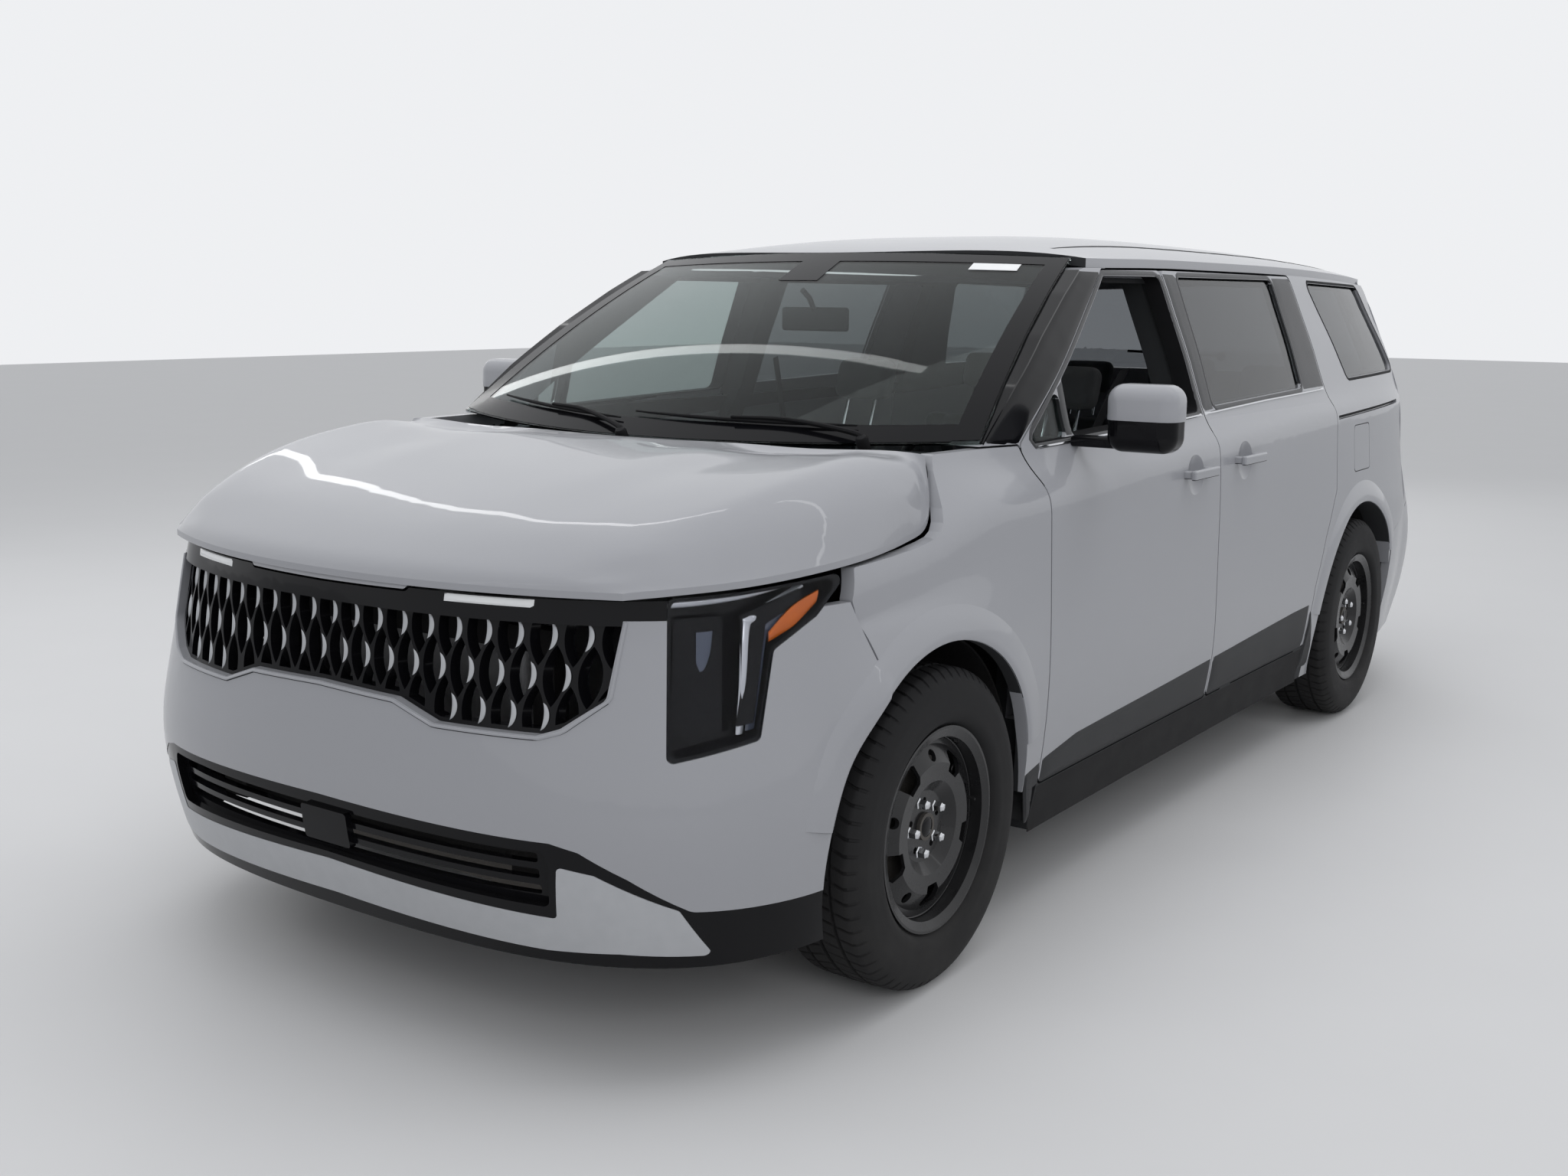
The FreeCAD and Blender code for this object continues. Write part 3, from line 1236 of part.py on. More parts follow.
def round_hole(body, name, radius, place, turn=0.0):
    """A sketch of one round hole, at a distance from the axis set by a sum of sizes."""
    sketch = body.newObject("Sketcher::SketchObject", name)
    sketch.AttachmentSupport = [(plane_of(body, "XY_Plane"), "")]
    sketch.MapMode = "FlatFace"
    sketch.AttachmentOffset = FreeCAD.Placement(Vector(0, 0, 0), FreeCAD.Rotation(UP, turn))
    reach, reach_words = measured(place)
    wide, wide_words = measured(radius)
    sketch.addGeometry(Part.Circle(Vector(reach, 0, 0), UP, wide), False)
    index = sketch.addConstraint(Sketcher.Constraint("Radius", 0, wide))
    sketch.setExpression(f"Constraints[{index}]", wide_words)
    index = sketch.addConstraint(Sketcher.Constraint("DistanceX", 0, 3, reach))
    sketch.setExpression(f"Constraints[{index}]", reach_words)
    sketch.addConstraint(Sketcher.Constraint("PointOnObject", 0, 3, -1))
    return sketch


SPOKES = 5


def rim(label, placement):
    """A steel wheel: a rolled rim with a dished disc, five windows, five holes and its bolts."""
    body = doc.addObject("PartDesign::Body", label)
    body.Label = label
    edge, half = (1, "rim_radius"), (0.5, "rim_width")
    wall = (-1, "rim_wall")
    barrel = [([edge], [half, 6]), ([edge], [half]), ([edge, -20], [half, -7]),
              ([edge, -22], [62]), ([edge, -44], [48]), ([edge, -44], [-10]),
              ([edge, -22], [-30]), ([edge, -20], [(-0.5, "rim_width"), 7]),
              ([edge], [(-0.5, "rim_width")]), ([edge], [(-0.5, "rim_width"), -6]),
              ([edge, wall], [(-0.5, "rim_width"), -6]), ([edge, -20, wall], [(-0.5, "rim_width"), 2]),
              ([edge, -22, wall], [-33]), ([edge, -44, wall], [-13]), ([edge, -44, wall], [51]),
              ([edge, -22, wall], [65]), ([edge, -20, wall], [half, -2]), ([edge, wall], [half, 6])]
    turned(body, label + "_barrel", profile(body, label + "_barrel_lines", "XZ_Plane", barrel))
    bore, out, disc = (1, "wheel_centre_bore"), (1, "rim_disc_out"), (-1, "rim_disc_wall")
    dish = [([bore], [out, disc]), ([bore, 56], [out, disc]), ([edge, -124], [out, 14]),
            ([edge, -88], [out, 18]), ([edge, -50], [out, -4]), ([edge, -26, wall], [out, disc, 1]),
            ([edge, -26, wall], [out, 4]), ([edge, -46], [out, 6]), ([edge, -86], [out, 27]),
            ([edge, -128], [out, 23]), ([bore, 50], [out]), ([bore], [out])]
    turned(body, label + "_disc", profile(body, label + "_disc_lines", "XZ_Plane", dish))
    window = [([edge, -104], [-19]), ([edge, -64], [-36]), ([edge, -56], [-26]), ([edge, -56], [26]),
              ([edge, -64], [36]), ([edge, -104], [19])]
    sketch = profile(body, label + "_window_lines", "XY_Plane", window)
    cut_round(body, label + "_window", sketch, SPOKES)
    vent = round_hole(body, label + "_vent_line", [13], [edge, -68], 180 / SPOKES)
    cut_round(body, label + "_vent", vent, SPOKES)
    bolt = round_hole(body, label + "_bolt_line", [(1, "wheel_bolt_hole")],
                      [(1, "wheel_bolt_circle")], 180 / SPOKES)
    cut_round(body, label + "_bolt", bolt, SPOKES)
    body.Placement = placement
    return body


def tyre(label, placement):
    """A tyre from bead to tread, left smooth."""
    body = doc.addObject("PartDesign::Body", label)
    body.Label = label
    out, seat, half = (1, "tyre_radius"), (1, "rim_radius"), (0.5, "rim_width")
    side = (0.5, "tyre_width")
    bead = [([seat, -20, (1, "seat_gap")], [half, -8.5]), ([seat, 2], [half, -1])]
    right = bead + [([seat, 14], [side, -5]),
                    ([seat, 58], [side]), ([out, -28], [side, -8]), ([out], [side, -34])]
    left = [(reach, [(-term[0], term[1]) if isinstance(term, tuple) else -term for term in width])
            for reach, width in reversed(right)]
    turned(body, label + "_ring", profile(body, label + "_lines", "XZ_Plane", right + left))
    body.Placement = placement
    return body


def wheel_places():
    """Name, axle station and side of each wheel."""
    for end, axle in (("front", FRONT_AXLE), ("rear", REAR_AXLE)):
        for hand, side in (("left", 1), ("right", -1)):
            turn = FreeCAD.Rotation(REARWARD, 90 * side)
            yield end + "_" + hand, FreeCAD.Placement(Vector(side * WHEEL_X, axle, WHEEL_Z), turn)


def door_handle(y, z):
    """A pull handle on the door's skin: a bar on two feet."""
    face = side_x(y, z) * across(1)
    bar = softened(block(face + 22, face + 38, along(y) - 95, along(y) + 95, above(z) - 14, above(z) + 14), 6)
    feet = [softened(block(face - 12, face + 30, along(y) + shift - 14, along(y) + shift + 14,
                           above(z) - 11, above(z) + 11), 5) for shift in (-74, 74)]
    return joined([bar] + feet)


def handle_cup(y, z):
    """The hollow in a door's skin behind its handle, as the tip of a ball."""
    ball, depth = 120, 17
    centre = Vector(side_x(y, z) * across(1) + ball - depth, along(y), above(z))
    return Part.makeSphere(ball, centre)


def handled(panel, y, z):
    """A door with its handle and the hollow behind it."""
    return panel.cut(handle_cup(y, z)).fuse(door_handle(y, z))


def front_door():
    """The left front door with its handle."""
    return handled(door_panel(FRONT_DOOR, (FRONT_WINDOW, CORNER_WINDOW)), -218, 1052)


def sliding_door():
    """The left sliding door with its handle."""
    return handled(door_panel(SLIDING_DOOR, (SLIDING_WINDOW,)), 184, 1063)


def build():
    """Makes every piece and sets it in the document."""
    pan = floor_pan()
    keep("floor", pan)
    keep("front_frame", front_frame())
    keep("front_suspension", front_suspension())
    keep("rear_suspension", rear_suspension())
    keep("exhaust", exhaust())
    keep("fuel_tank", fuel_tank())
    keep("engine", engine())
    left_side = whole_side()
    flap_space = side_prism(FUEL_FLAP, 18, inner=across(900), gap=-3)
    keep("side_left", left_side.cut(flap_space.common(outer_plate(FLAP_WALL + 2 + SEAT, 2))))
    keep("side_right", turned_left(left_side))
    keep("fuel_flap", flap())
    keep("fenders", both(fender_panel()))
    keep("hood", hood_panel())
    keep("windshield", windshield_glass())
    keep("roof", roof_panel())
    keep("cowl_panel", cowl())
    keep("front_bumper", front_bumper())
    keep("bumper_garnish", garnish())
    keep("grille", grille())
    keep("headlamp_lenses", headlamp_lenses())
    keep("headlamp_housings", headlamp_housings())
    keep("rear_bumper", rear_bumper())
    keep("tailgate", tailgate())
    keep("tailgate_glass", tailgate_glass())
    keep("tail_lamps", tail_lamps())
    front = front_door()
    keep("front_door_left", front)
    keep("front_door_right", turned_left(front))
    keep("sliding_doors", both(sliding_door()))
    corner_pane = glass_pane(CORNER_WINDOW)
    keep("corner_glass_left", corner_pane)
    raised = Part.makeCompound([turned_left(corner_pane), turned_left(glass_pane(FRONT_WINDOW))])
    keep("door_glass_right", raised)
    keep("side_glass", both(Part.makeCompound([glass_pane(SLIDING_WINDOW), glass_pane(QUARTER_WINDOW)])))
    housing = mirror()
    keep("mirror_left", housing)
    keep("mirror_right", turned_left(housing))
    keep("dashboard", dashboard())
    keep("steering_wheel", steering_wheel())
    keep("front_seats", both(seat_shape(385, along(-300), 520, 500, 600, (0,))))
    keep("second_row_seats", both(seat_shape(400, along(640), 540, 500, 600, (0,))))
    keep("third_row_seat", seat_shape(0, along(1560), 1180, 480, 560, (-400, 0, 400)))
    upright = knuckle()
    keep("knuckle_left", upright)
    keep("knuckle_right", turned_left(upright))
    for name, placement in wheel_places():
        rim("rim_" + name, placement)
        tyre("tyre_" + name, placement)


build()
doc.recompute()
pieces = [item for item in doc.Objects if item.TypeId in ("PartDesign::Body", "Part::Feature")]
for item in doc.Objects:
    if "Invalid" in item.State or "Error" in item.State:
        raise RuntimeError(f"{item.Label} is {item.State}")
for item in pieces:
    if item.Shape.isNull() or not item.Shape.isValid():
        raise RuntimeError(f"{item.Label} has no valid shape")
os.makedirs("parts", exist_ok=True)
for item in pieces:
    item.Shape.exportStep("parts/" + item.Label + ".step")
    print(item.Label, len(item.Shape.Solids), round(item.Shape.Volume / 1e6, 2))
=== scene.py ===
# %% [markdown]
# # Dressing a minivan
# The solid panels, glass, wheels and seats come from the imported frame, in metres: +X is the
# van's left side, -Y its front and +Z up. This lesson adds what a workshop adds after the
# bodywork: paint, glass, tyres with tread, lamps, trim, wipers and padded seats.

# %% Load the frame
import json
import math
import bmesh
import bpy
import numpy as np
from mathutils import Matrix, Vector


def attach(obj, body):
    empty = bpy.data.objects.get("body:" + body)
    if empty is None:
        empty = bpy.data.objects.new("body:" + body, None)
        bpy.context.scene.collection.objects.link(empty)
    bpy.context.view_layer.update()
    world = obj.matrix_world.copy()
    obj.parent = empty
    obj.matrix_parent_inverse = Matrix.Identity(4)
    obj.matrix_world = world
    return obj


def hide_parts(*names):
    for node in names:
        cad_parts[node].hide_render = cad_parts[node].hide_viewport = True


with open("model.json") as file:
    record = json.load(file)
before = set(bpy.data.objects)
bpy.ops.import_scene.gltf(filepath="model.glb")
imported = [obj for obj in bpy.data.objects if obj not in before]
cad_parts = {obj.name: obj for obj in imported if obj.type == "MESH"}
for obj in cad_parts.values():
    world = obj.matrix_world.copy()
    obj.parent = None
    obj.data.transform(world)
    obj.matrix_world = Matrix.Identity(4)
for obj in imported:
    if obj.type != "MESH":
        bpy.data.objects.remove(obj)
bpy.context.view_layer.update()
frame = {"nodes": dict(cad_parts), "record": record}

nodes = frame["nodes"]

# %% [markdown]
# ## The camera
# The photograph was taken from the van's left front, from a little under roof height, with a
# mildly wide lens. The camera's place and turn were found from the wheels, which are circles of a
# known size, so the script only repeats the numbers.

# %% Camera
CAMERA_PLACE = Vector((2.712, -4.709, 1.548))
CAMERA_TURN = math.radians(35.327)
CAMERA_DOWN = math.radians(10.208)
CAMERA_ROLL = math.radians(0.412)
PHOTO_WIDTH = 2048
FOCAL_PIXELS = 2133.0
SENSOR = 36.0


def camera_axes(turn, down, roll):
    """Right, up and backward directions of a camera turned about Z, tipped down, then rolled."""
    back = Vector((math.sin(turn) * math.cos(down), -math.cos(turn) * math.cos(down), math.sin(down)))
    right = Vector((0, 0, 1)).cross(back).normalized()
    up = back.cross(right)
    c, s = math.cos(roll), math.sin(roll)
    return right * c + up * s, up * c - right * s, back


lens = bpy.data.cameras.new("portrait_camera")
lens.sensor_width = SENSOR
lens.lens = FOCAL_PIXELS / PHOTO_WIDTH * SENSOR
camera = bpy.data.objects.new("portrait_camera", lens)
bpy.context.scene.collection.objects.link(camera)
axes = Matrix(camera_axes(CAMERA_TURN, CAMERA_DOWN, CAMERA_ROLL)).transposed()
camera.matrix_world = Matrix.Translation(CAMERA_PLACE) @ axes.to_4x4()
bpy.context.scene.camera = camera
print("lens", round(lens.lens, 2), "mm")

# %% [markdown]
# ## Lamps
# A car studio lights paint with large soft panels and narrow tubes. The panels give even light
# from above, the front left, the right and the rear. Gloss paint would mirror their squares and
# clip to white, so only the tubes show in reflections, as thin lines that trace the bodywork.

# %% Soft panels and narrow tubes
bpy.context.scene.view_settings.view_transform = "Standard"


def link(tree, source, target):
    """Joins two sockets of a node tree."""
    tree.links.new(source, target)


def soft_panel(name, place, aim, size, power, shows=False):
    """A soft light that hangs at place and looks at aim; shows puts it in reflections too."""
    lamp = bpy.data.lights.new(name, "AREA")
    lamp.shape = "RECTANGLE"
    lamp.size, lamp.size_y = size
    lamp.energy = power
    holder = bpy.data.objects.new(name, lamp)
    holder.location = place
    way = Vector(aim) - Vector(place)
    holder.rotation_euler = way.to_track_quat("-Z", "Y").to_euler()
    holder.visible_glossy = shows
    bpy.context.scene.collection.objects.link(holder)
    return holder


soft_panel("panel_top", (0.6, -0.6, 5.6), (0, 0, 0), (7.0, 4.0), 140)
soft_panel("panel_front_left", (5.2, -6.0, 3.6), (0, -1, 0.8), (3.5, 2.5), 85)
soft_panel("panel_right", (-6.5, -3.0, 3.2), (0, 0, 0.8), (3.5, 2.5), 50)
soft_panel("panel_rear", (-3.5, 7.5, 3.8), (0, 1, 0.9), (4.5, 2.5), 70)
soft_panel("tube_left", (3.4, 0.5, 4.2), (0, 0.5, 0.8), (0.14, 6.0), 9, True)
soft_panel("tube_right", (-3.4, 0.5, 4.2), (0, 0.5, 0.8), (0.14, 6.0), 9, True)
soft_panel("tube_front", (0.4, -6.4, 4.4), (0, -1.6, 0.8), (5.0, 0.14), 3.5, True)

# %% [markdown]
# ## Small helpers for node trees
# Every finish starts from one Principled shader. Effects that several finishes share, such as
# a fine grain or dust near the ground, are node groups with named inputs. These helpers make a
# group and the nodes that turn up again and again, so a finish reads as one line per idea.


# %% Node helpers
def new_group(name, ins, outs):
    """A shader node group with the given input and output sockets, and its two end nodes."""
    group = bpy.data.node_groups.new(name, "ShaderNodeTree")
    for socket, kind, value in ins:
        made = group.interface.new_socket(socket, in_out="INPUT", socket_type=kind)
        if value is not None:
            made.default_value = value
    for socket, kind in outs:
        group.interface.new_socket(socket, in_out="OUTPUT", socket_type=kind)
    start = group.nodes.new("NodeGroupInput")
    end = group.nodes.new("NodeGroupOutput")
    return group, start, end


def noise_node(tree, vector, scale, detail=3.0):
    """A noise texture; vector and scale are sockets or, for scale, a number."""
    noise = tree.nodes.new("ShaderNodeTexNoise")
    noise.inputs["Detail"].default_value = detail
    link(tree, vector, noise.inputs["Vector"])
    if isinstance(scale, (int, float)):
        noise.inputs["Scale"].default_value = scale
    else:
        link(tree, scale, noise.inputs["Scale"])
    return noise


def math_node(tree, operation, *values):
    """A maths node whose inputs are sockets or numbers."""
    node = tree.nodes.new("ShaderNodeMath")
    node.operation = operation
    for k, value in enumerate(values):
        if isinstance(value, (int, float)):
            node.inputs[k].default_value = value
        else:
            link(tree, value, node.inputs[k])
    return node.outputs[0]


def mix_colours(tree, share, first, second):
    """A colour between two; each is a socket or a colour."""
    node = tree.nodes.new("ShaderNodeMix")
    node.data_type = "RGBA"
    for socket, value in ((node.inputs[0], share), (node.inputs[6], first), (node.inputs[7], second)):
        if isinstance(value, bpy.types.NodeSocket):
            link(tree, value, socket)
        elif isinstance(value, (int, float)):
            socket.default_value = value
        else:
            socket.default_value = (*value, 1.0)
    return node.outputs[2]


COLOUR, NUMBER, ARROW = "NodeSocketColor", "NodeSocketFloat", "NodeSocketVector"
print("node helpers ready")

# %% [markdown]
# ## The air round the van
# The camera, mirrors and glass see a pale backdrop. As a light the same air is weaker, or it
# would wash the blacks out. Light Path's ray kinds choose between the two backgrounds.

# %% World
world = bpy.data.worlds.new("studio_air")
bpy.context.scene.world = world
world.use_nodes = True
air = world.node_tree
air.nodes.clear()
backgrounds = []
for colour, strength in (((0.96, 0.98, 1.0, 1), 0.62), ((0.86, 0.87, 0.89, 1), 1.0)):
    background = air.nodes.new("ShaderNodeBackground")
    background.inputs["Color"].default_value = colour
    background.inputs["Strength"].default_value = strength
    backgrounds.append(background)
ray = air.nodes.new("ShaderNodeLightPath").outputs
sees = math_node(air, "MAXIMUM", ray["Is Camera Ray"], ray["Is Glossy Ray"])
pick = air.nodes.new("ShaderNodeMixShader")
link(air, math_node(air, "MAXIMUM", sees, ray["Is Transmission Ray"]), pick.inputs[0])
link(air, backgrounds[0].outputs[0], pick.inputs[1])
link(air, backgrounds[1].outputs[0], pick.inputs[2])
link(air, pick.outputs[0], air.nodes.new("ShaderNodeOutputWorld").inputs[0])
print("world nodes", len(air.nodes))

# %% [markdown]
# ## Mottle, dust and grain
# No surface on a van is one flat colour. Mottle mixes two near tones by a soft noise, dust
# gathers near the ground, and grain is the fine texture moulded into plastic and rubber. As
# groups they keep one shape in every finish and only their inputs differ.

# %% Three shared effects
# Mottle: two colours mixed by a soft noise, and the same noise as a mask
mottle, start, end = new_group("mottle", [("Vector", ARROW, None), ("Scale", NUMBER, 8.0),
                                          ("Dark", COLOUR, None), ("Light", COLOUR, None)],
                               [("Color", COLOUR), ("Mask", NUMBER)])
noise = noise_node(mottle, start.outputs["Vector"], start.outputs["Scale"], 4.0)
link(mottle, mix_colours(mottle, noise.outputs["Fac"], start.outputs["Dark"], start.outputs["Light"]),
     end.inputs["Color"])
link(mottle, noise.outputs["Fac"], end.inputs["Mask"])

# Dust: a mask that is strongest near the ground and broken up by noise
dust, start, end = new_group("dust", [("Vector", ARROW, None), ("Height", NUMBER, 0.5),
                                      ("Amount", NUMBER, 0.3)], [("Mask", NUMBER)])
apart = dust.nodes.new("ShaderNodeSeparateXYZ")
link(dust, start.outputs["Vector"], apart.inputs[0])
low = math_node(dust, "SUBTRACT", 1.0, math_node(dust, "DIVIDE", apart.outputs["Z"],
                                                 start.outputs["Height"]))
low = math_node(dust, "MAXIMUM", low, 0.0)
broken = noise_node(dust, start.outputs["Vector"], 14.0, 6.0)
amount = math_node(dust, "MULTIPLY", math_node(dust, "MULTIPLY", low, broken.outputs["Fac"]),
                   start.outputs["Amount"])
link(dust, amount, end.inputs["Mask"])

# Grain: a height made of fine cells, as on moulded plastic and leather
grain, start, end = new_group("grain", [("Vector", ARROW, None), ("Scale", NUMBER, 900.0)],
                              [("Height", NUMBER)])
cells = grain.nodes.new("ShaderNodeTexVoronoi")
link(grain, start.outputs["Vector"], cells.inputs["Vector"])
link(grain, start.outputs["Scale"], cells.inputs["Scale"])
soft = noise_node(grain, start.outputs["Vector"], start.outputs["Scale"], 2.0)
link(grain, math_node(grain, "ADD", cells.outputs["Distance"], soft.outputs["Fac"]),
     end.inputs["Height"])

print("groups", mottle.name, dust.name, grain.name)

# %% [markdown]
# ## Where paint ends
# One CAD panel carries both the painted skin and its dark inner side. A mask tells them apart by
# place and facing, so the mesh needs no cut. It holds what lies inside the cabin, which is real dark
# lining. It also holds painted shade: faces that look down, the step under the doors and the faces
# of shut lines and jambs are body colour on the van, but here they take the dark lining colour
# because they lie in shade. At the arch ends and window runs those faces are real black. The lining
# starts at a half width of 0.872 m at the belt, 0.36 m less for each metre above it and less toward
# the tail.

# %% Mask of the inner faces and of painted shade
# The group named inside holds the real cabin lining together with painted shade.
inside, start, end = new_group("inside", [("Vector", ARROW, None)], [("Mask", NUMBER)])
apart = inside.nodes.new("ShaderNodeSeparateXYZ")
link(inside, start.outputs["Vector"], apart.inputs[0])
over_belt = math_node(inside, "MAXIMUM", math_node(inside, "SUBTRACT", apart.outputs["Z"], 1.20), 0.0)
lean_in = math_node(inside, "MULTIPLY", over_belt, 0.36)
aft = math_node(inside, "MAXIMUM", math_node(inside, "SUBTRACT", apart.outputs["Y"], 1.1), 0.0)
bend_in = math_node(inside, "MULTIPLY", math_node(inside, "MULTIPLY", aft, aft), 0.06)
skin_x = math_node(inside, "SUBTRACT", math_node(inside, "SUBTRACT", 0.872, lean_in), bend_in)
within = math_node(inside, "LESS_THAN", math_node(inside, "ABSOLUTE", apart.outputs["X"]), skin_x)
fore = math_node(inside, "GREATER_THAN", apart.outputs["Y"], -1.02)
before_tail = math_node(inside, "LESS_THAN", apart.outputs["Y"], 2.10)
under_roof = math_node(inside, "LESS_THAN", apart.outputs["Z"], 1.60)
cabin = math_node(inside, "MULTIPLY", math_node(inside, "MULTIPLY", within, fore),
                  math_node(inside, "MULTIPLY", before_tail, under_roof))
facing = inside.nodes.new("ShaderNodeNewGeometry")
way = inside.nodes.new("ShaderNodeSeparateXYZ")
link(inside, facing.outputs["True Normal"], way.inputs[0])
# Faces that look down: painted shade, dark where the van has body colour in shade.
down = math_node(inside, "LESS_THAN", way.outputs["Z"], -0.55)
# Faces that look fore or aft amidships, the jambs and shut faces: real black at arch ends and window runs,
# painted shade on body-colour shut faces.
steep = math_node(inside, "GREATER_THAN", math_node(inside, "ABSOLUTE", way.outputs["Y"]), 0.93)
amidships = math_node(inside, "LESS_THAN", math_node(inside, "ABSOLUTE", apart.outputs["Y"]), 1.90)
within_sills = math_node(inside, "LESS_THAN", math_node(inside, "ABSOLUTE", apart.outputs["X"]), 0.945)
jamb_black_and_shade = math_node(inside, "MULTIPLY", math_node(inside, "MULTIPLY", steep, amidships), within_sills)
# The step under the doors: a body-colour ledge painted dark as shade.
by_step = math_node(inside, "LESS_THAN", math_node(inside, "ABSOLUTE", math_node(
    inside, "ADD", apart.outputs["Y"], 0.12)), 1.08)
step = math_node(inside, "MULTIPLY", by_step, math_node(inside, "LESS_THAN", apart.outputs["Z"], 0.352))
# The mask is the cabin lining plus the painted shade above.
link(inside, math_node(inside, "MAXIMUM", math_node(inside, "MAXIMUM", cabin, down),
                       math_node(inside, "MAXIMUM", jamb_black_and_shade, step)), end.inputs["Mask"])
print("node groups", [group.name for group in bpy.data.node_groups])

# %% [markdown]
# ## From effects to a finish
# Most finishes differ only in two tones, a range of roughness, a grain and some dust. One
# function makes them all from a Principled shader, and constants go straight on its sockets.


# %% A finish from one Principled shader
def start_finish(name):
    """A new material with its Principled shader, and a socket with Object coordinates."""
    material = bpy.data.materials.new(name)
    material.use_nodes = True
    tree = material.node_tree
    shader = tree.nodes["Principled BSDF"]
    place = tree.nodes.new("ShaderNodeTexCoord")
    return material, tree, shader, place.outputs["Object"]


def group_node(tree, group, **values):
    """One use of a node group, with values given by input name."""
    node = tree.nodes.new("ShaderNodeGroup")
    node.node_tree = group
    for socket, value in values.items():
        if isinstance(value, bpy.types.NodeSocket):
            link(tree, value, node.inputs[socket])
        elif isinstance(value, (int, float)):
            node.inputs[socket].default_value = value
        else:
            node.inputs[socket].default_value = (*value, 1.0)
    return node


def set_shader(shader, **values):
    """Sets constant values straight on the shader's sockets; underscores stand for spaces."""
    for socket, value in values.items():
        shader.inputs[socket.replace("_", " ")].default_value = value


def bumped(tree, shader, height, distance, strength=1.0):
    """Feeds a height through a Bump node into the shader's normal."""
    bump = tree.nodes.new("ShaderNodeBump")
    bump.inputs["Strength"].default_value = strength
    bump.inputs["Distance"].default_value = distance
    link(tree, height, bump.inputs["Height"])
    link(tree, bump.outputs[0], shader.inputs["Normal"])


def roughened(tree, shader, mask, low, high):
    """Roughness between two values, by a mask."""
    spread = tree.nodes.new("ShaderNodeMapRange")
    spread.inputs["To Min"].default_value = low
    spread.inputs["To Max"].default_value = high
    link(tree, mask, spread.inputs["Value"])
    link(tree, spread.outputs[0], shader.inputs["Roughness"])


def mottled_finish(name, dark, light, scale, rough, bump=None, dusty=0.0, **constants):
    """A finish whose colour wanders between two tones, with a roughness range and a grain."""
    material, tree, shader, place = start_finish(name)
    tone = group_node(tree, mottle, Vector=place, Scale=scale, Dark=dark, Light=light)
    colour = tone.outputs["Color"]
    if dusty:
        film = group_node(tree, dust, Vector=place, Height=0.75, Amount=dusty)
        colour = mix_colours(tree, film.outputs["Mask"], colour, (0.34, 0.32, 0.29))
    link(tree, colour, shader.inputs["Base Color"])
    roughened(tree, shader, tone.outputs["Mask"], *rough)
    if bump:
        texture = group_node(tree, grain, Vector=place, Scale=bump[0])
        bumped(tree, shader, texture.outputs["Height"], bump[1])
    set_shader(shader, **constants)
    return material


# %% [markdown]
# ## Paint
# The van wears a solid cool grey with a gloss clear coat. Paint is two layers: a matt colour
# and a lacquer with a faint ripple, so the shader's coat does the shine and a very fine bump
# breaks the reflections as orange peel does.


# %% Painted shell
def painted_shell(name, dark, light, lining_and_shade):
    """Gloss paint outside; the dark colour is lining inside the skin and, as painted shade, on faces that
    look down, body-colour jambs and the step.
    """
    material, tree, shader, place = start_finish(name)
    tone = group_node(tree, mottle, Vector=place, Scale=2.2, Dark=dark, Light=light)
    film = group_node(tree, dust, Vector=place, Height=0.75, Amount=0.10)
    colour = mix_colours(tree, film.outputs["Mask"], tone.outputs["Color"], (0.34, 0.32, 0.29))
    # The mask picks the dark colour: real lining in the cabin, painted shade on down-facing faces, shut
    # faces and the step.
    inner = group_node(tree, inside, Vector=place)
    mask = inner.outputs["Mask"]
    link(tree, mix_colours(tree, mask, colour, lining_and_shade), shader.inputs["Base Color"])
    rough = math_node(tree, "ADD", 0.36, math_node(tree, "MULTIPLY", mask, 0.35))
    link(tree, rough, shader.inputs["Roughness"])
    coat = math_node(tree, "MULTIPLY", 0.6, math_node(tree, "SUBTRACT", 1.0, mask))
    link(tree, coat, shader.inputs["Coat Weight"])
    texture = group_node(tree, grain, Vector=place, Scale=1400.0)
    bumped(tree, shader, texture.outputs["Height"], 0.00002)
    set_shader(shader, Coat_Roughness=0.03, Coat_IOR=1.45, Specular_IOR_Level=0.3)
    return material


# The third colour is the dark cabin lining, also used as painted shade on faces that look down, on shut
# faces and on the step.
paint = painted_shell("body_paint", (0.300, 0.305, 0.328), (0.315, 0.320, 0.344),
                      (0.022, 0.023, 0.025))
print("painted", paint.name)

# %% [markdown]
# ## Blacks, trim and leather
# The van's blacks differ in shine, not in colour: gloss at the pillars and grille, matt at the
# sills, a slightly lighter cladding with a moulded grain. A low specular level keeps the pale
# backdrop from turning them grey.

# %% Plastics, trim and leather
gloss_black = mottled_finish("gloss_black", (0.003, 0.003, 0.004), (0.005, 0.005, 0.006), 5.0,
                             (0.10, 0.16), None, 0.01, Coat_Weight=0.12, Coat_Roughness=0.03,
                             Specular_IOR_Level=0.12)
matte_black = mottled_finish("matte_black", (0.006, 0.006, 0.007), (0.011, 0.011, 0.012), 9.0,
                             (0.5, 0.68), (1500, 0.0002), 0.04, Specular_IOR_Level=0.12)
cladding = mottled_finish("dark_cladding", (0.022, 0.023, 0.025), (0.030, 0.031, 0.034), 7.0,
                          (0.42, 0.55), (1300, 0.00025), 0.07, Specular_IOR_Level=0.18)
underbody = mottled_finish("underbody_paint", (0.006, 0.006, 0.007), (0.014, 0.013, 0.013), 6.0,
                           (0.55, 0.8), (300, 0.0006), 0.12, Specular_IOR_Level=0.2)
silver = mottled_finish("silver_trim", (0.40, 0.41, 0.43), (0.46, 0.47, 0.49), 30.0,
                        (0.32, 0.40), (1800, 0.00003), 0.08, Metallic=0.35)
chrome = mottled_finish("bright_trim", (0.62, 0.63, 0.65), (0.70, 0.71, 0.73), 12.0,
                        (0.06, 0.14), None, 0.0, Metallic=1.0)
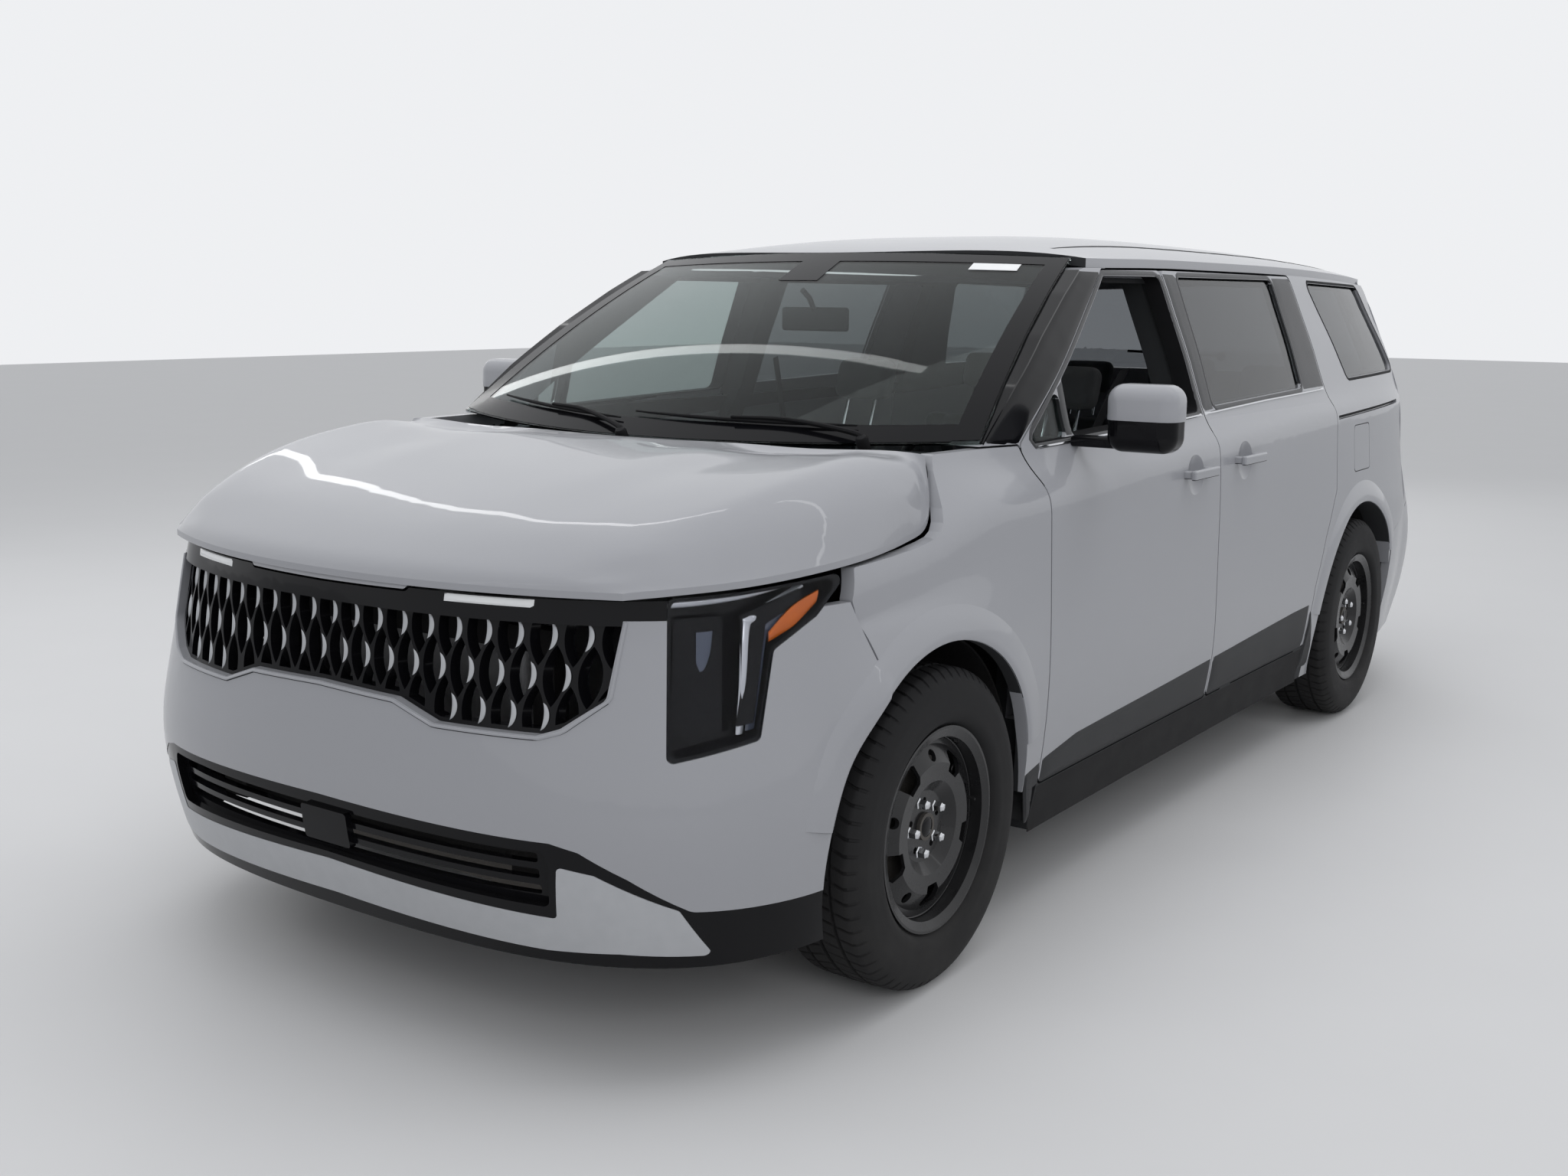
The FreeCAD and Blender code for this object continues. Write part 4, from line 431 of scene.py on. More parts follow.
dash = mottled_finish("dash_plastic", (0.014, 0.015, 0.016), (0.022, 0.023, 0.025), 12.0,
                      (0.5, 0.62), (1100, 0.0003), Specular_IOR_Level=0.25)
leather = mottled_finish("wheel_leather", (0.012, 0.012, 0.013), (0.022, 0.022, 0.023), 25.0,
                         (0.4, 0.52), (700, 0.0003))
print("blacks and trim", gloss_black.name, matte_black.name, cladding.name)

# %% [markdown]
# ## Metal and rubber below
# Castings are rough and dark, the exhaust is dull steel that browns with heat, and the steel
# wheels are painted satin black.

# %% Metals, wheels and rubber
cast_iron = mottled_finish("cast_iron", (0.07, 0.065, 0.06), (0.13, 0.12, 0.11), 20.0,
                           (0.5, 0.75), (260, 0.0006), 0.2, Metallic=0.7)
exhaust_steel = mottled_finish("exhaust_steel", (0.20, 0.17, 0.14), (0.38, 0.36, 0.33), 6.0,
                               (0.32, 0.5), (500, 0.0001), 0.2, Metallic=1.0)
cast_alloy = mottled_finish("aluminium_block", (0.30, 0.30, 0.31), (0.42, 0.42, 0.43), 14.0,
                            (0.4, 0.55), (380, 0.0004), 0.1, Metallic=0.9)
wheel_black = mottled_finish("wheel_black", (0.007, 0.007, 0.008), (0.014, 0.014, 0.015), 20.0,
                             (0.22, 0.34), (900, 0.00004), 0.02, Coat_Weight=0.3,
                             Coat_Roughness=0.10, Specular_IOR_Level=0.25)
rubber = mottled_finish("tyre_rubber", (0.008, 0.008, 0.009), (0.015, 0.015, 0.016), 18.0,
                        (0.62, 0.8), (1000, 0.00012), 0.06, Specular_IOR_Level=0.2)

# %% [markdown]
# ## Glass
# Real panes let light into the cabin as well as sight. A shadow ray meets a plain transparent
# shader instead of the glass, so the lamps reach the seats, and all other rays meet the glass.
# The rear panes are dark privacy glass. The windscreen and lamp covers bend light less than real
# glass does, because less bending means a weaker mirror, and both look dark in the photograph.


# %% Glass finishes
def glass_finish(name, tint, shade, bend=1.45):
    """Window glass: a Principled shader with full transmission, open to the lamps' light."""
    material, tree, shader, place = start_finish(name)
    set_shader(shader, Base_Color=(*tint, 1.0), Transmission_Weight=1.0, IOR=bend)
    tone = group_node(tree, mottle, Vector=place, Scale=3.0, Dark=tint, Light=[c * 1.03 for c in tint])
    link(tree, tone.outputs["Color"], shader.inputs["Base Color"])
    shader.inputs["Roughness"].default_value = 0.0
    open_pane = tree.nodes.new("ShaderNodeBsdfTransparent")
    open_pane.inputs["Color"].default_value = (*shade, 1.0)
    path = tree.nodes.new("ShaderNodeLightPath")
    pick = tree.nodes.new("ShaderNodeMixShader")
    link(tree, path.outputs["Is Shadow Ray"], pick.inputs[0])
    link(tree, shader.outputs[0], pick.inputs[1])
    link(tree, open_pane.outputs[0], pick.inputs[2])
    link(tree, pick.outputs[0], tree.nodes["Material Output"].inputs["Surface"])
    return material


clear_glass = glass_finish("clear_glass", (0.50, 0.56, 0.55), (0.55, 0.60, 0.59), 1.22)
privacy_glass = glass_finish("privacy_glass", (0.16, 0.17, 0.18), (0.10, 0.10, 0.11))
lamp_lens = glass_finish("lamp_lens", (0.80, 0.81, 0.83), (0.85, 0.86, 0.88), 1.15)
red_lens = mottled_finish("red_lens", (0.30, 0.006, 0.008), (0.36, 0.010, 0.012), 6.0,
                          (0.06, 0.12), None, 0.0, Coat_Weight=1.0, Coat_Roughness=0.02)

# %% [markdown]
# ## Seat cloth
# The seats wear a dark grey woven cloth. Two sets of fine waves at right angles make the weave.


# %% Woven cloth
def cloth_finish(name, dark, light, threads=900.0):
    """Woven cloth: warp and weft waves multiply into a height, and shade the colour."""
    material, tree, shader, place = start_finish(name)
    waves = []
    for direction in ("X", "Z"):
        wave = tree.nodes.new("ShaderNodeTexWave")
        wave.bands_direction = direction
        wave.inputs["Scale"].default_value = threads
        link(tree, place, wave.inputs["Vector"])
        waves.append(wave.outputs["Fac"])
    weave = math_node(tree, "MULTIPLY", *waves)
    tone = group_node(tree, mottle, Vector=place, Scale=16.0, Dark=dark, Light=light)
    shaded = mix_colours(tree, weave, tone.outputs["Color"], light)
    link(tree, shaded, shader.inputs["Base Color"])
    bumped(tree, shader, weave, 0.0004)
    set_shader(shader, Roughness=0.85, Sheen_Weight=0.3)
    return material


seat_cloth = cloth_finish("seat_fabric", (0.026, 0.027, 0.030), (0.050, 0.052, 0.057))

# %% [markdown]
# ## Dressing the frame's own nodes
# Panels whose shape is already right keep their mesh and only take a finish.

# %% Assign finishes by record slot
FINISHES = {
    "body_paint": paint, "underbody_paint": underbody, "gloss_black": gloss_black,
    "matte_black": matte_black, "silver_trim": silver, "lamp_lens": lamp_lens,
    "red_lens": red_lens, "clear_glass": clear_glass, "privacy_glass": privacy_glass,
    "dash_plastic": dash, "wheel_leather": leather, "seat_fabric": seat_cloth,
    "wheel_black": wheel_black, "tyre_rubber": rubber, "cast_iron": cast_iron,
    "exhaust_steel": exhaust_steel, "aluminium_block": cast_alloy,
}


def dress(node, material):
    """Gives a frame node one finish in every one of its material slots."""
    mesh = nodes[node].data
    if not mesh.materials:
        mesh.materials.append(material)
    for k in range(len(mesh.materials)):
        mesh.materials[k] = material


for part in frame["record"]["subparts"]:
    dress(part["node"], FINISHES[part["material_slot"]])

# %% [markdown]
# ## Shapes as grids of points
# Every new piece is made of grids of points, computed as whole arrays, with quads between them.
# A slab is a thin closed sheet between two grids, a tube follows a path, and a turned form is a
# profile carried round an axis. Coincident points at seams and poles are merged at the end.


# %% Grids and slabs
def unit(vector):
    """A direction of length one."""
    vector = np.asarray(vector, float)
    return vector / np.linalg.norm(vector, axis=-1, keepdims=True)


def grid_shape(points, wrap_rows=False, wrap_cols=False):
    """Points of a grid and the quads between neighbours; a wrapped way closes on itself."""
    rows, cols = points.shape[:2]
    i = np.arange(rows if wrap_rows else rows - 1)[:, None]
    j = np.arange(cols if wrap_cols else cols - 1)[None, :]
    below, beside = (i + 1) % rows, (j + 1) % cols
    quads = np.stack([i * cols + j, i * cols + beside, below * cols + beside, below * cols + j], -1)
    return points.reshape(-1, 3), quads.reshape(-1, 4)


def slab(front, back):
    """A closed sheet between two grids: each row is a ring, and the first and last are capped."""
    ring = np.concatenate([front, back[:, ::-1]], axis=1)
    return [grid_shape(ring, wrap_cols=True), grid_shape(np.stack([front[0], back[0]])),
            grid_shape(np.stack([front[-1], back[-1]]))]


def frame_slab(front, back):
    """A closed sheet between two grids whose columns go all the way round an opening."""
    return [grid_shape(np.concatenate([front, back[::-1]]), wrap_rows=True, wrap_cols=True)]


print("grids and slabs ready")

# %% [markdown]
# ## Paths, tubes and turned forms
# Wipers, posts and stalks are bars along a path; nuts, caps and lips are profiles carried round
# an axis; pads and housings are blocks with round edges. Each is one formula on a whole grid.


# %% Paths, tubes, turned forms and soft blocks
def smooth_path(points, count):
    """A Catmull-Rom spline through points: cubic spans whose slope is half the neighbours' step."""
    points = np.asarray(points, float)
    chain = np.concatenate([2 * points[:1] - points[1:2], points, 2 * points[-1:] - points[-2:-1]])
    spans = len(chain) - 3
    share = np.linspace(0, spans, count)
    k = np.minimum(share.astype(int), spans - 1)
    t = (share - k)[:, None]
    a, b, c, d = (chain[k + n] for n in range(4))
    return 0.5 * (2 * b + (c - a) * t + (2 * a - 5 * b + 4 * c - d) * t ** 2
                  + (3 * b - a - 3 * c + d) * t ** 3)


def straight_path(points, count):
    """Points spread evenly by length along straight runs."""
    points = np.asarray(points, float)
    steps = np.linalg.norm(np.diff(points, axis=0), axis=1)
    far = np.concatenate([[0], np.cumsum(steps)])
    at = np.linspace(0, far[-1], count)
    return np.stack([np.interp(at, far, column) for column in points.T], -1)


def tube(path, radius, sides=12):
    """A round bar: point = path + radius * (cos a * normal + sin a * binormal), ends capped."""
    path = np.asarray(path, float)
    along = unit(np.gradient(path, axis=0))
    widest = np.argmin(np.abs(along).mean(axis=0))
    normal = unit(np.cross(along, np.eye(3)[widest]))
    binormal = np.cross(along, normal)
    a = np.linspace(0, 2 * np.pi, sides, endpoint=False)[None, :, None]
    radius = np.broadcast_to(np.asarray(radius, float).reshape(-1, 1, 1), (len(path), 1, 1))
    ring = path[:, None] + radius * (np.cos(a) * normal[:, None] + np.sin(a) * binormal[:, None])
    first = np.repeat(path[:1, None], sides, 1)
    last = np.repeat(path[-1:, None], sides, 1)
    return [grid_shape(np.concatenate([first, ring, last]), wrap_cols=True)]


def turned(profile, centre, axis, sides=32, lobes=None, closed=False):
    """A profile of (radius, height) carried round an axis; lobes scales the radius by angle."""
    axis = unit(axis)
    first = unit(np.cross(axis, (0.12, 0.31, 0.94)))
    second = np.cross(axis, first)
    a = np.linspace(0, 2 * np.pi, sides, endpoint=False)
    radius, height = np.asarray(profile, float).T
    radius = radius[:, None] * (lobes(a)[None] if lobes else np.ones((1, sides)))
    points = (np.asarray(centre, float) + height[:, None, None] * axis
              + radius[..., None] * (np.cos(a)[None, :, None] * first
                                     + np.sin(a)[None, :, None] * second))
    return [grid_shape(points, wrap_rows=closed, wrap_cols=True)]


def soft_box(half, radius, count=6):
    """A block with round edges: eight parts of a sphere, drawn apart by the block's core."""
    quarter = np.linspace(0, np.pi / 2, count)
    lon = np.concatenate([quarter + k * np.pi / 2 for k in range(4)])[None]
    lon_middle = np.repeat((np.arange(4) + 0.5) * np.pi / 2, count)[None]
    lat = np.concatenate([quarter - np.pi / 2, quarter])[:, None]
    lat_side = np.repeat([-1.0, 1.0], count)[:, None]
    core = np.asarray(half, float) - radius
    ball = np.stack([np.cos(lat) * np.cos(lon), np.cos(lat) * np.sin(lon), np.sin(lat) + 0 * lon], -1)
    side = np.stack([np.sign(np.cos(lon_middle)) + 0 * lat, np.sign(np.sin(lon_middle)) + 0 * lat,
                     lat_side + 0 * lon], -1)
    points = core * side + radius * ball
    foot = np.broadcast_to((0, 0, -half[2]), (1, points.shape[1], 3))
    return np.concatenate([foot, points, -foot])


print("tubes and turned forms ready")

# %% [markdown]
# ## From grids to a piece
# A piece is one mesh of all its grids. Doubles at seams and poles are merged and the normals
# turned outward, so it shades and exports as one closed skin. The van is symmetric, so most
# trim is made for the left side and mirrored.


# %% Make a piece
def mirrored(shapes):
    """The same shapes on the van's other side."""
    return [(points * (-1, 1, 1), quads) for points, quads in shapes]


def make_piece(name, shapes, material, body, sharp=35, replaces=None):
    """One mesh from all shapes: doubles merged, normals outward, edges sharp past an angle."""
    counts = np.cumsum([0] + [len(points) for points, quads in shapes])
    points = np.concatenate([points for points, quads in shapes])
    quads = np.concatenate([quads + base for (points_, quads), base in zip(shapes, counts)])
    mesh = bpy.data.meshes.new(name)
    mesh.from_pydata(points.tolist(), [], quads.tolist())
    form = bmesh.new()
    form.from_mesh(mesh)
    bmesh.ops.remove_doubles(form, verts=form.verts, dist=1e-5)
    bmesh.ops.recalc_face_normals(form, faces=form.faces)
    form.to_mesh(mesh)
    form.free()
    mesh.materials.append(material)
    mesh.shade_smooth()
    mesh.set_sharp_from_angle(angle=math.radians(sharp))
    piece = bpy.data.objects.new(name, mesh)
    bpy.context.scene.collection.objects.link(piece)
    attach(piece, body)
    if replaces:
        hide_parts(replaces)
    return piece


def both_sides(name, shapes, material, body, sharp=35):
    """A left piece and its mirror image; a body whose name ends in left gets its right twin."""
    other = body.replace("left", "right")
    left = make_piece(name + "_left", shapes, material, body, sharp)
    right = make_piece(name + "_right", mirrored(shapes), material, other, sharp)
    return left, right


print("piece makers ready")

# %% [markdown]
# ## Laying trim on the bodywork
# Trim follows the skin under it. A grid drawn flat starts outside the van, a Shrinkwrap modifier
# pushes each point along one axis until it meets a panel, and the result is read back as an
# array. Where a point meets nothing it takes the place of its neighbours.


# %% Press a grid on the skin
AXES = {"X": 0, "Y": 1, "Z": 2}


def pressed(grid, on, axis, side):
    """Moves each point of a grid along an axis, from its side, onto the outermost named node."""
    number = AXES[axis]
    start = np.array(grid, float)
    start[..., number] = side * 3.2
    met = np.full(start.shape[:-1], np.nan)
    for node in on:
        mesh = bpy.data.meshes.new("probe")
        mesh.from_pydata(start.reshape(-1, 3).tolist(), [], [])
        probe = bpy.data.objects.new("probe", mesh)
        bpy.context.scene.collection.objects.link(probe)
        press = probe.modifiers.new("press", "SHRINKWRAP")
        press.wrap_method = "PROJECT"
        press.target = nodes[node]
        for letter in "xyz":
            setattr(press, "use_project_" + letter, letter == axis.lower())
        press.use_negative_direction = side > 0
        press.use_positive_direction = side < 0
        graph = bpy.context.evaluated_depsgraph_get()
        result = probe.evaluated_get(graph).to_mesh()
        flat = np.empty(len(result.vertices) * 3)
        result.vertices.foreach_get("co", flat)
        place = flat.reshape(start.shape)[..., number]
        probe.evaluated_get(graph).to_mesh_clear()
        bpy.data.objects.remove(probe)
        bpy.data.meshes.remove(mesh)
        place = np.where(np.abs(place - side * 3.2) < 1e-4, np.nan, place)
        met = np.fmax(met, place) if side > 0 else np.fmin(met, place)
    start[..., number] = fill_misses(met)
    return start


def fill_misses(values):
    """Fills places with no value from the mean of those beside them, spreading outward."""
    values = values.copy()
    for turn in range(max(values.shape)):
        empty = np.isnan(values)
        if not empty.any():
            break
        padded = np.pad(values, 1, constant_values=np.nan)
        beside = np.stack([padded[:-2, 1:-1], padded[2:, 1:-1], padded[1:-1, :-2], padded[1:-1, 2:]])
        known = ~np.isnan(beside)
        mean = np.where(known, beside, 0).sum(0) / np.maximum(known.sum(0), 1)
        values = np.where(empty & known.any(0), mean, values)
    return np.where(np.isnan(values), 0.0, values)


def lifted(skin, axis, side, proud, deep=0.002):
    """A slab's two grids: the skin moved out by proud, which may vary, and in by deep."""
    front, back = skin.copy(), skin.copy()
    front[..., AXES[axis]] += side * proud
    back[..., AXES[axis]] -= side * deep
    return front, back


def pillow(rows, cols, power=8):
    """A height of 1 that rounds to 0 at the edges: (1 - |2s-1|^power), across and along."""
    s = np.abs(np.linspace(-1, 1, rows))[:, None]
    t = np.abs(np.linspace(-1, 1, cols))[None, :]
    return (1 - s ** power) * (1 - t ** (power * 3))


def side_strip(upper, lower, on, proud, rows=7, cols=60, power=8):
    """A strip on the van's left side between two lines of (station, height)."""
    top, foot = straight_path(upper, cols), straight_path(lower, cols)
    s = np.linspace(0, 1, rows)[:, None, None]
    flat = foot[None] * (1 - s) + top[None] * s
    grid = np.concatenate([np.zeros((rows, cols, 1)), flat], -1)
    skin = pressed(grid, on, "X", 1)
    return slab(*lifted(skin, "X", 1, proud * pillow(rows, cols, power)))


print("strips ready")

# %% [markdown]
# ## Frames round windows
# A window's surround keeps an even width, so its outline is first given round corners and then
# moved outward by two gaps. The band between them is pressed on the door as strips are.


# %% Frames and strips on nose and tail
WINDOW_CORNER = 0.022


def outline_path(points, count, gap=0.0):
    """A closed flat outline with round corners, spread evenly, and moved outward by a gap."""
    points = np.asarray(points, float)
    back, ahead = unit(np.roll(points, 1, 0) - points), unit(np.roll(points, -1, 0) - points)
    half = np.arccos(np.clip((back * ahead).sum(-1), -1, 1)) / 2
    cut = np.minimum(WINDOW_CORNER / np.tan(half), 0.45 * np.minimum(
        np.linalg.norm(np.roll(points, 1, 0) - points, axis=1),
        np.linalg.norm(np.roll(points, -1, 0) - points, axis=1)))
    bend = cut * np.tan(half)
    middle = points + unit(back + ahead) * (bend / np.sin(half))[:, None]
    first, last = points + back * cut[:, None] - middle, points + ahead * cut[:, None] - middle
    s = np.linspace(0, 1, 9)[None, :, None]
    arc = middle[:, None] + unit(first[:, None] * (1 - s) + last[:, None] * s) * bend[:, None, None]
    chain = arc.reshape(-1, 2)
    ring = straight_path(np.concatenate([chain, chain[:1]]), count + 1)[:-1]
    step = unit(np.roll(ring, -1, 0) - np.roll(ring, 1, 0))
    area = np.sum(ring[:, 0] * np.roll(ring[:, 1], -1) - np.roll(ring[:, 0], -1) * ring[:, 1])
    outward = np.stack([step[:, 1], -step[:, 0]], -1) * np.sign(area)
    return ring + outward * gap


def side_frame(outline, on, inner, outer, proud, rows=5, count=160):
    """A band round an outline on the left side, from one offset to another, on the skin."""
    s = np.linspace(0, 1, rows)[:, None, None]
    near, far = outline_path(outline, count, inner), outline_path(outline, count, outer)
    flat = near[None] * (1 - s) + far[None] * s
    grid = np.concatenate([np.zeros((rows, count, 1)), flat], -1)
    skin = pressed(grid, on, "X", 1)
    height = proud * (1 - np.abs(np.linspace(-1, 1, rows))[:, None] ** 6)
    return frame_slab(*lifted(skin, "X", 1, height))


def front_strip(upper, lower, on, proud, rows=7, cols=60, side=-1, power=8):
    """A strip on the nose, or on the tail with side 1, between two lines of (x, height)."""
    top, foot = straight_path(upper, cols), straight_path(lower, cols)
    s = np.linspace(0, 1, rows)[:, None, None]
    flat = foot[None] * (1 - s) + top[None] * s
    grid = np.stack([flat[..., 0], np.zeros((rows, cols)), flat[..., 1]], -1)
    skin = pressed(grid, on, "Y", side)
    return slab(*lifted(skin, "Y", side, proud * pillow(rows, cols, power)))


print("helpers ready")

# %% [markdown]
# ## Tyres
# A road tyre has four ribs between three straight grooves, cross slots in the shoulders and a
# sidewall with raised rings. Its section is a closed profile; carried round the axle, the radius
# drops where a slot passes. The slots lean, because the angle shifts with the distance from the
# middle, so the blocks come out slanted as on a real tread.

# %% Tyre with tread and sidewall
TRACK, FRONT_AXLE, REAR_AXLE, WHEEL_Z = 0.868, -1.643, 1.447, 0.3686
TREAD_RADIUS, TREAD_HALF = 0.3686, 0.0835
PITCHES = 64


def tyre_section():
    """Half widths, radii and slot depths round the closed section, from bead over tread to bead."""
    wall = smooth_path([(0.089, 0.216), (0.0965, 0.238), (0.1125, 0.252), (0.1175, 0.294),
                        (0.1135, 0.330), (0.1045, 0.350), (0.0905, 0.3640)], 22)
    ridge = 0.0018 * np.exp(-((wall[:, 1] - 0.262) / 0.004) ** 2)
    ridge += 0.0012 * np.exp(-((wall[:, 1] - 0.322) / 0.003) ** 2)
    wall[:, 0] += ridge
    wall_slot = 0.004 * np.clip((wall[:, 1] - 0.343) / 0.010, 0, 1)
    lip, depth = 0.0012, 0.0075
    edges, drops, slots = [TREAD_HALF], [0.0], [0.006]
    for groove in (0.050, 0.0, -0.050):
        half = 0.0048 if groove else 0.0055
        edges += [groove + half + 0.008, groove + half, groove + half - lip,
                  groove - half + lip, groove - half, groove - half - 0.008]
        drops += [0, 0, depth, depth, 0, 0]
        rib = 0.0058 if groove else 0.0030
        slots += [rib, rib * 0.4, 0, 0, rib * 0.4, rib]
    edges.append(-TREAD_HALF)
    drops.append(0.0)
    slots.append(0.006)
    x = np.array(edges)
    r = TREAD_RADIUS - 0.0022 * (x / TREAD_HALF) ** 2 - np.array(drops)
    half = np.concatenate([wall[:, 0], x, -wall[::-1, 0]])
    radius = np.concatenate([wall[:, 1], r, wall[::-1, 1]])
    slot = np.concatenate([wall_slot, np.array(slots), wall_slot[::-1]])
    return half, radius, slot


print("section points", len(tyre_section()[0]))


# %% The section carried round the axle
def tyre_shape(side, axle):
    """The section carried round the axle: radius = section radius - slot depth * slot pattern."""
    half, radius, slot = tyre_section()
    share = np.array([0.0, 0.07, 0.11, 0.27, 0.31, 0.66])
    inside = np.array([0.0, 0.0, 1.0, 1.0, 0.0, 0.0])
    turn = (np.arange(PITCHES)[:, None] + share[None]).ravel() * 2 * np.pi / PITCHES
    pattern = np.tile(inside, PITCHES)
    lean = np.minimum(np.abs(half), 0.085) * 0.95 + 0.04 * (half < 0)
    angle = turn[None] + lean[:, None]
    r = radius[:, None] - slot[:, None] * pattern[None]
    points = np.stack([side * TRACK + side * half[:, None] + 0 * r,
                       axle + r * np.cos(angle), WHEEL_Z + r * np.sin(angle)], -1)
    return [grid_shape(points, wrap_rows=True, wrap_cols=True)]


WHEELS = {"front_left": (1, FRONT_AXLE), "front_right": (-1, FRONT_AXLE),
          "rear_left": (1, REAR_AXLE), "rear_right": (-1, REAR_AXLE)}
for corner, (side, axle) in WHEELS.items():
    make_piece("tread_" + corner, tyre_shape(side, axle), rubber, "wheel_" + corner,
               28, replaces="tyre_" + corner)
print("tyres", len(WHEELS))

# %% [markdown]
# ## Wheel nuts, cap and lips
# The black steel wheels are held by five bright hexagon nuts round a small domed cap. The
# pressed holes have rolled lips. A hexagon is a turned form whose radius follows
# cos(30) / cos(angle from the nearest flat's middle).


# %% Nuts, caps, lips and valves
def hexagon(a):
    """Radius share of a hexagon at an angle."""
    return math.cos(math.pi / 6) / np.cos(np.mod(a, math.pi / 3) - math.pi / 6)


NUT = [(0, -0.002), (0.0150, -0.002), (0.0150, 0.001), (0.0122, 0.003), (0.0122, 0.018),
       (0.0108, 0.0215), (0.0070, 0.0240), (0.0, 0.0250)]
CAP = [(0, -0.012), (0.0300, -0.012), (0.0312, -0.001), (0.0300, 0.004), (0.0262, 0.0075),
       (0.0200, 0.0105), (0.0100, 0.0122), (0.0, 0.0128)]


def lip_ring(centre, axis, radius, thick, sides=28):
    """A rolled lip: a small circle carried round an axis."""
    a = np.linspace(0, 2 * np.pi, 8, endpoint=False)
    profile = np.stack([radius + thick * np.cos(a), 0.8 * thick * np.sin(a)], -1)
    return turned(profile, centre, axis, sides, closed=True)


BOLT_CIRCLE, VENT_CIRCLE, DISC_FACE = 0.060, 0.168, 0.062
for corner, (side, axle) in WHEELS.items():
    outward = (side, 0, 0)
    face = side * (TRACK + DISC_FACE)
    nuts, lips = [], []
    for k in range(5):
        a = math.radians(36 + 72 * k)
        around = np.array([0, math.cos(a), math.sin(a)])
        hub = np.array([face, axle, WHEEL_Z])
        nuts += turned(NUT, hub + BOLT_CIRCLE * around, outward, 24, hexagon)
        lips += lip_ring(hub + VENT_CIRCLE * around, outward, 0.0142, 0.0032)
    lips += lip_ring((side * (TRACK + 0.0955), axle, WHEEL_Z), outward, 0.2335, 0.0035, 96)
    make_piece("nuts_" + corner, nuts, chrome, "wheel_" + corner)
    make_piece("lips_" + corner, lips, wheel_black, "wheel_" + corner)
    make_piece("cap_" + corner, turned(CAP, (face, axle, WHEEL_Z), outward, 40), gloss_black,
               "wheel_" + corner)
    stem = [(side * (TRACK + 0.050), axle + 0.196, WHEEL_Z + 0.02),
            (side * (TRACK + 0.068), axle + 0.193, WHEEL_Z + 0.02),
            (side * (TRACK + 0.088), axle + 0.190, WHEEL_Z + 0.02)]
    make_piece("valve_" + corner, tube(smooth_path(stem, 8), [0.0042] * 5 + [0.0032] * 3),
               rubber, "wheel_" + corner)
print("nuts and lips on", len(WHEELS), "wheels")

# %% [markdown]
# ## Grille slivers, light strips and the painted rim
# Each cell of the wave lattice carries a bright sliver along one side, and the gloss band above
# holds a thin white lamp at each side. The painted edge round the opening is rolled, which shows
# as a bright line, so a slim painted bar lies on it.

# %% Slivers on the lattice
LEAF_HALF, LEAF_TALL, LATTICE_PITCH = 0.0215, 0.060, 0.067
ARC_RADIUS = (LEAF_TALL ** 2 + LEAF_HALF ** 2) / (2 * LEAF_HALF)


def sliver_grid(x, z):
    """A crescent beside a leaf: its edge is the leaf's arc, and its width fades to both ends."""
    t = np.linspace(-1, 1, 13)[:, None]
    rise = 0.027 * t
    arc = LEAF_HALF - ARC_RADIUS + np.sqrt(ARC_RADIUS ** 2 - rise ** 2)
    wide = 0.0125 * (1 - t ** 2) ** 0.7
    s = np.linspace(0, 1, 4)[None]
    return np.stack([x + arc + 0.0010 + wide * s, np.zeros((13, 4)), z + rise + 0 * s], -1)


sliver_shapes = []
for row, (z, reach) in enumerate(((0.893, 0.640), (0.815, 0.630), (0.738, 0.580))):
    for k in range(-10, 11):
        x = (k + 0.5 * (row % 2)) * LATTICE_PITCH
        if abs(x + 0.02) > reach or (row == 2 and abs(x + 0.02) < 0.33):
            continue
        skin = pressed(sliver_grid(x, z), ["grille"], "Y", -1)
        skin[..., 1] = np.minimum(skin[..., 1], skin[..., 1].min(axis=1, keepdims=True) + 0.001)
        front, back = lifted(skin, "Y", -1, 0.0016 * pillow(13, 4, 6), 0.001)
        sliver_shapes += slab(front, back)
make_piece("grille_slivers", sliver_shapes, silver, "body")
print("slivers", len(sliver_shapes) // 3)

# %% [markdown]
# ## Band lamps and the rolled rim
# Two slim white lamps lie in the black band, and the bumper's edge round the grille catches the
# light. A strip pressed on the band and a thin bar along the edge show both.

# %% Band lamps and rim of the opening
lamp_white = mottled_finish("lamp_white", (0.66, 0.67, 0.68), (0.74, 0.75, 0.76), 20.0,
                            (0.12, 0.2), None, 0.0, Coat_Weight=0.8, Coat_Roughness=0.03)
strip = front_strip([(0.335, 0.9635), (0.527, 0.9635)], [(0.335, 0.9480), (0.527, 0.9480)],
                    ["grille"], 0.003, 5, 30, power=4)
both_sides("band_lamp", strip, lamp_white, "body")
rim = [(0.694, 0.926), (0.686, 0.780), (0.610, 0.716), (0.562, 0.700), (0.328, 0.700), (0.222, 0.736),
       (0.0, 0.742)]
rim = rim + [(-x, z) for x, z in reversed(rim[:-1])]
flat = straight_path(rim, 160)
grid = np.stack([flat[:, 0], np.zeros(160), flat[:, 1]], -1)[None]
on_skin = pressed(grid, ["front_bumper"], "Y", -1)[0]
on_skin[:, 1] += 0.0015
make_piece("grille_rim", tube(on_skin, 0.0048, 10), paint, "body")
print("rim of the opening", len(on_skin), "rings")

# %% [markdown]
# ## Headlamps
# Behind the clear cover sit a bent silver light pipe with a smoked side, an amber corner, a
# smoked step and a thin bright blade along the top. Each is a bar between two lines that are
# drawn on the skin and set in along the inward direction of the van's corner.

# %% Lamp bars and their finishes
INWARD = unit((-0.72, 0.69, 0.0))
amber = mottled_finish("amber_lens", (0.48, 0.095, 0.006), (0.60, 0.13, 0.010), 9.0, (0.1, 0.18),
                       None, 0.0, Coat_Weight=0.4, Coat_Roughness=0.03, Specular_IOR_Level=0.3)


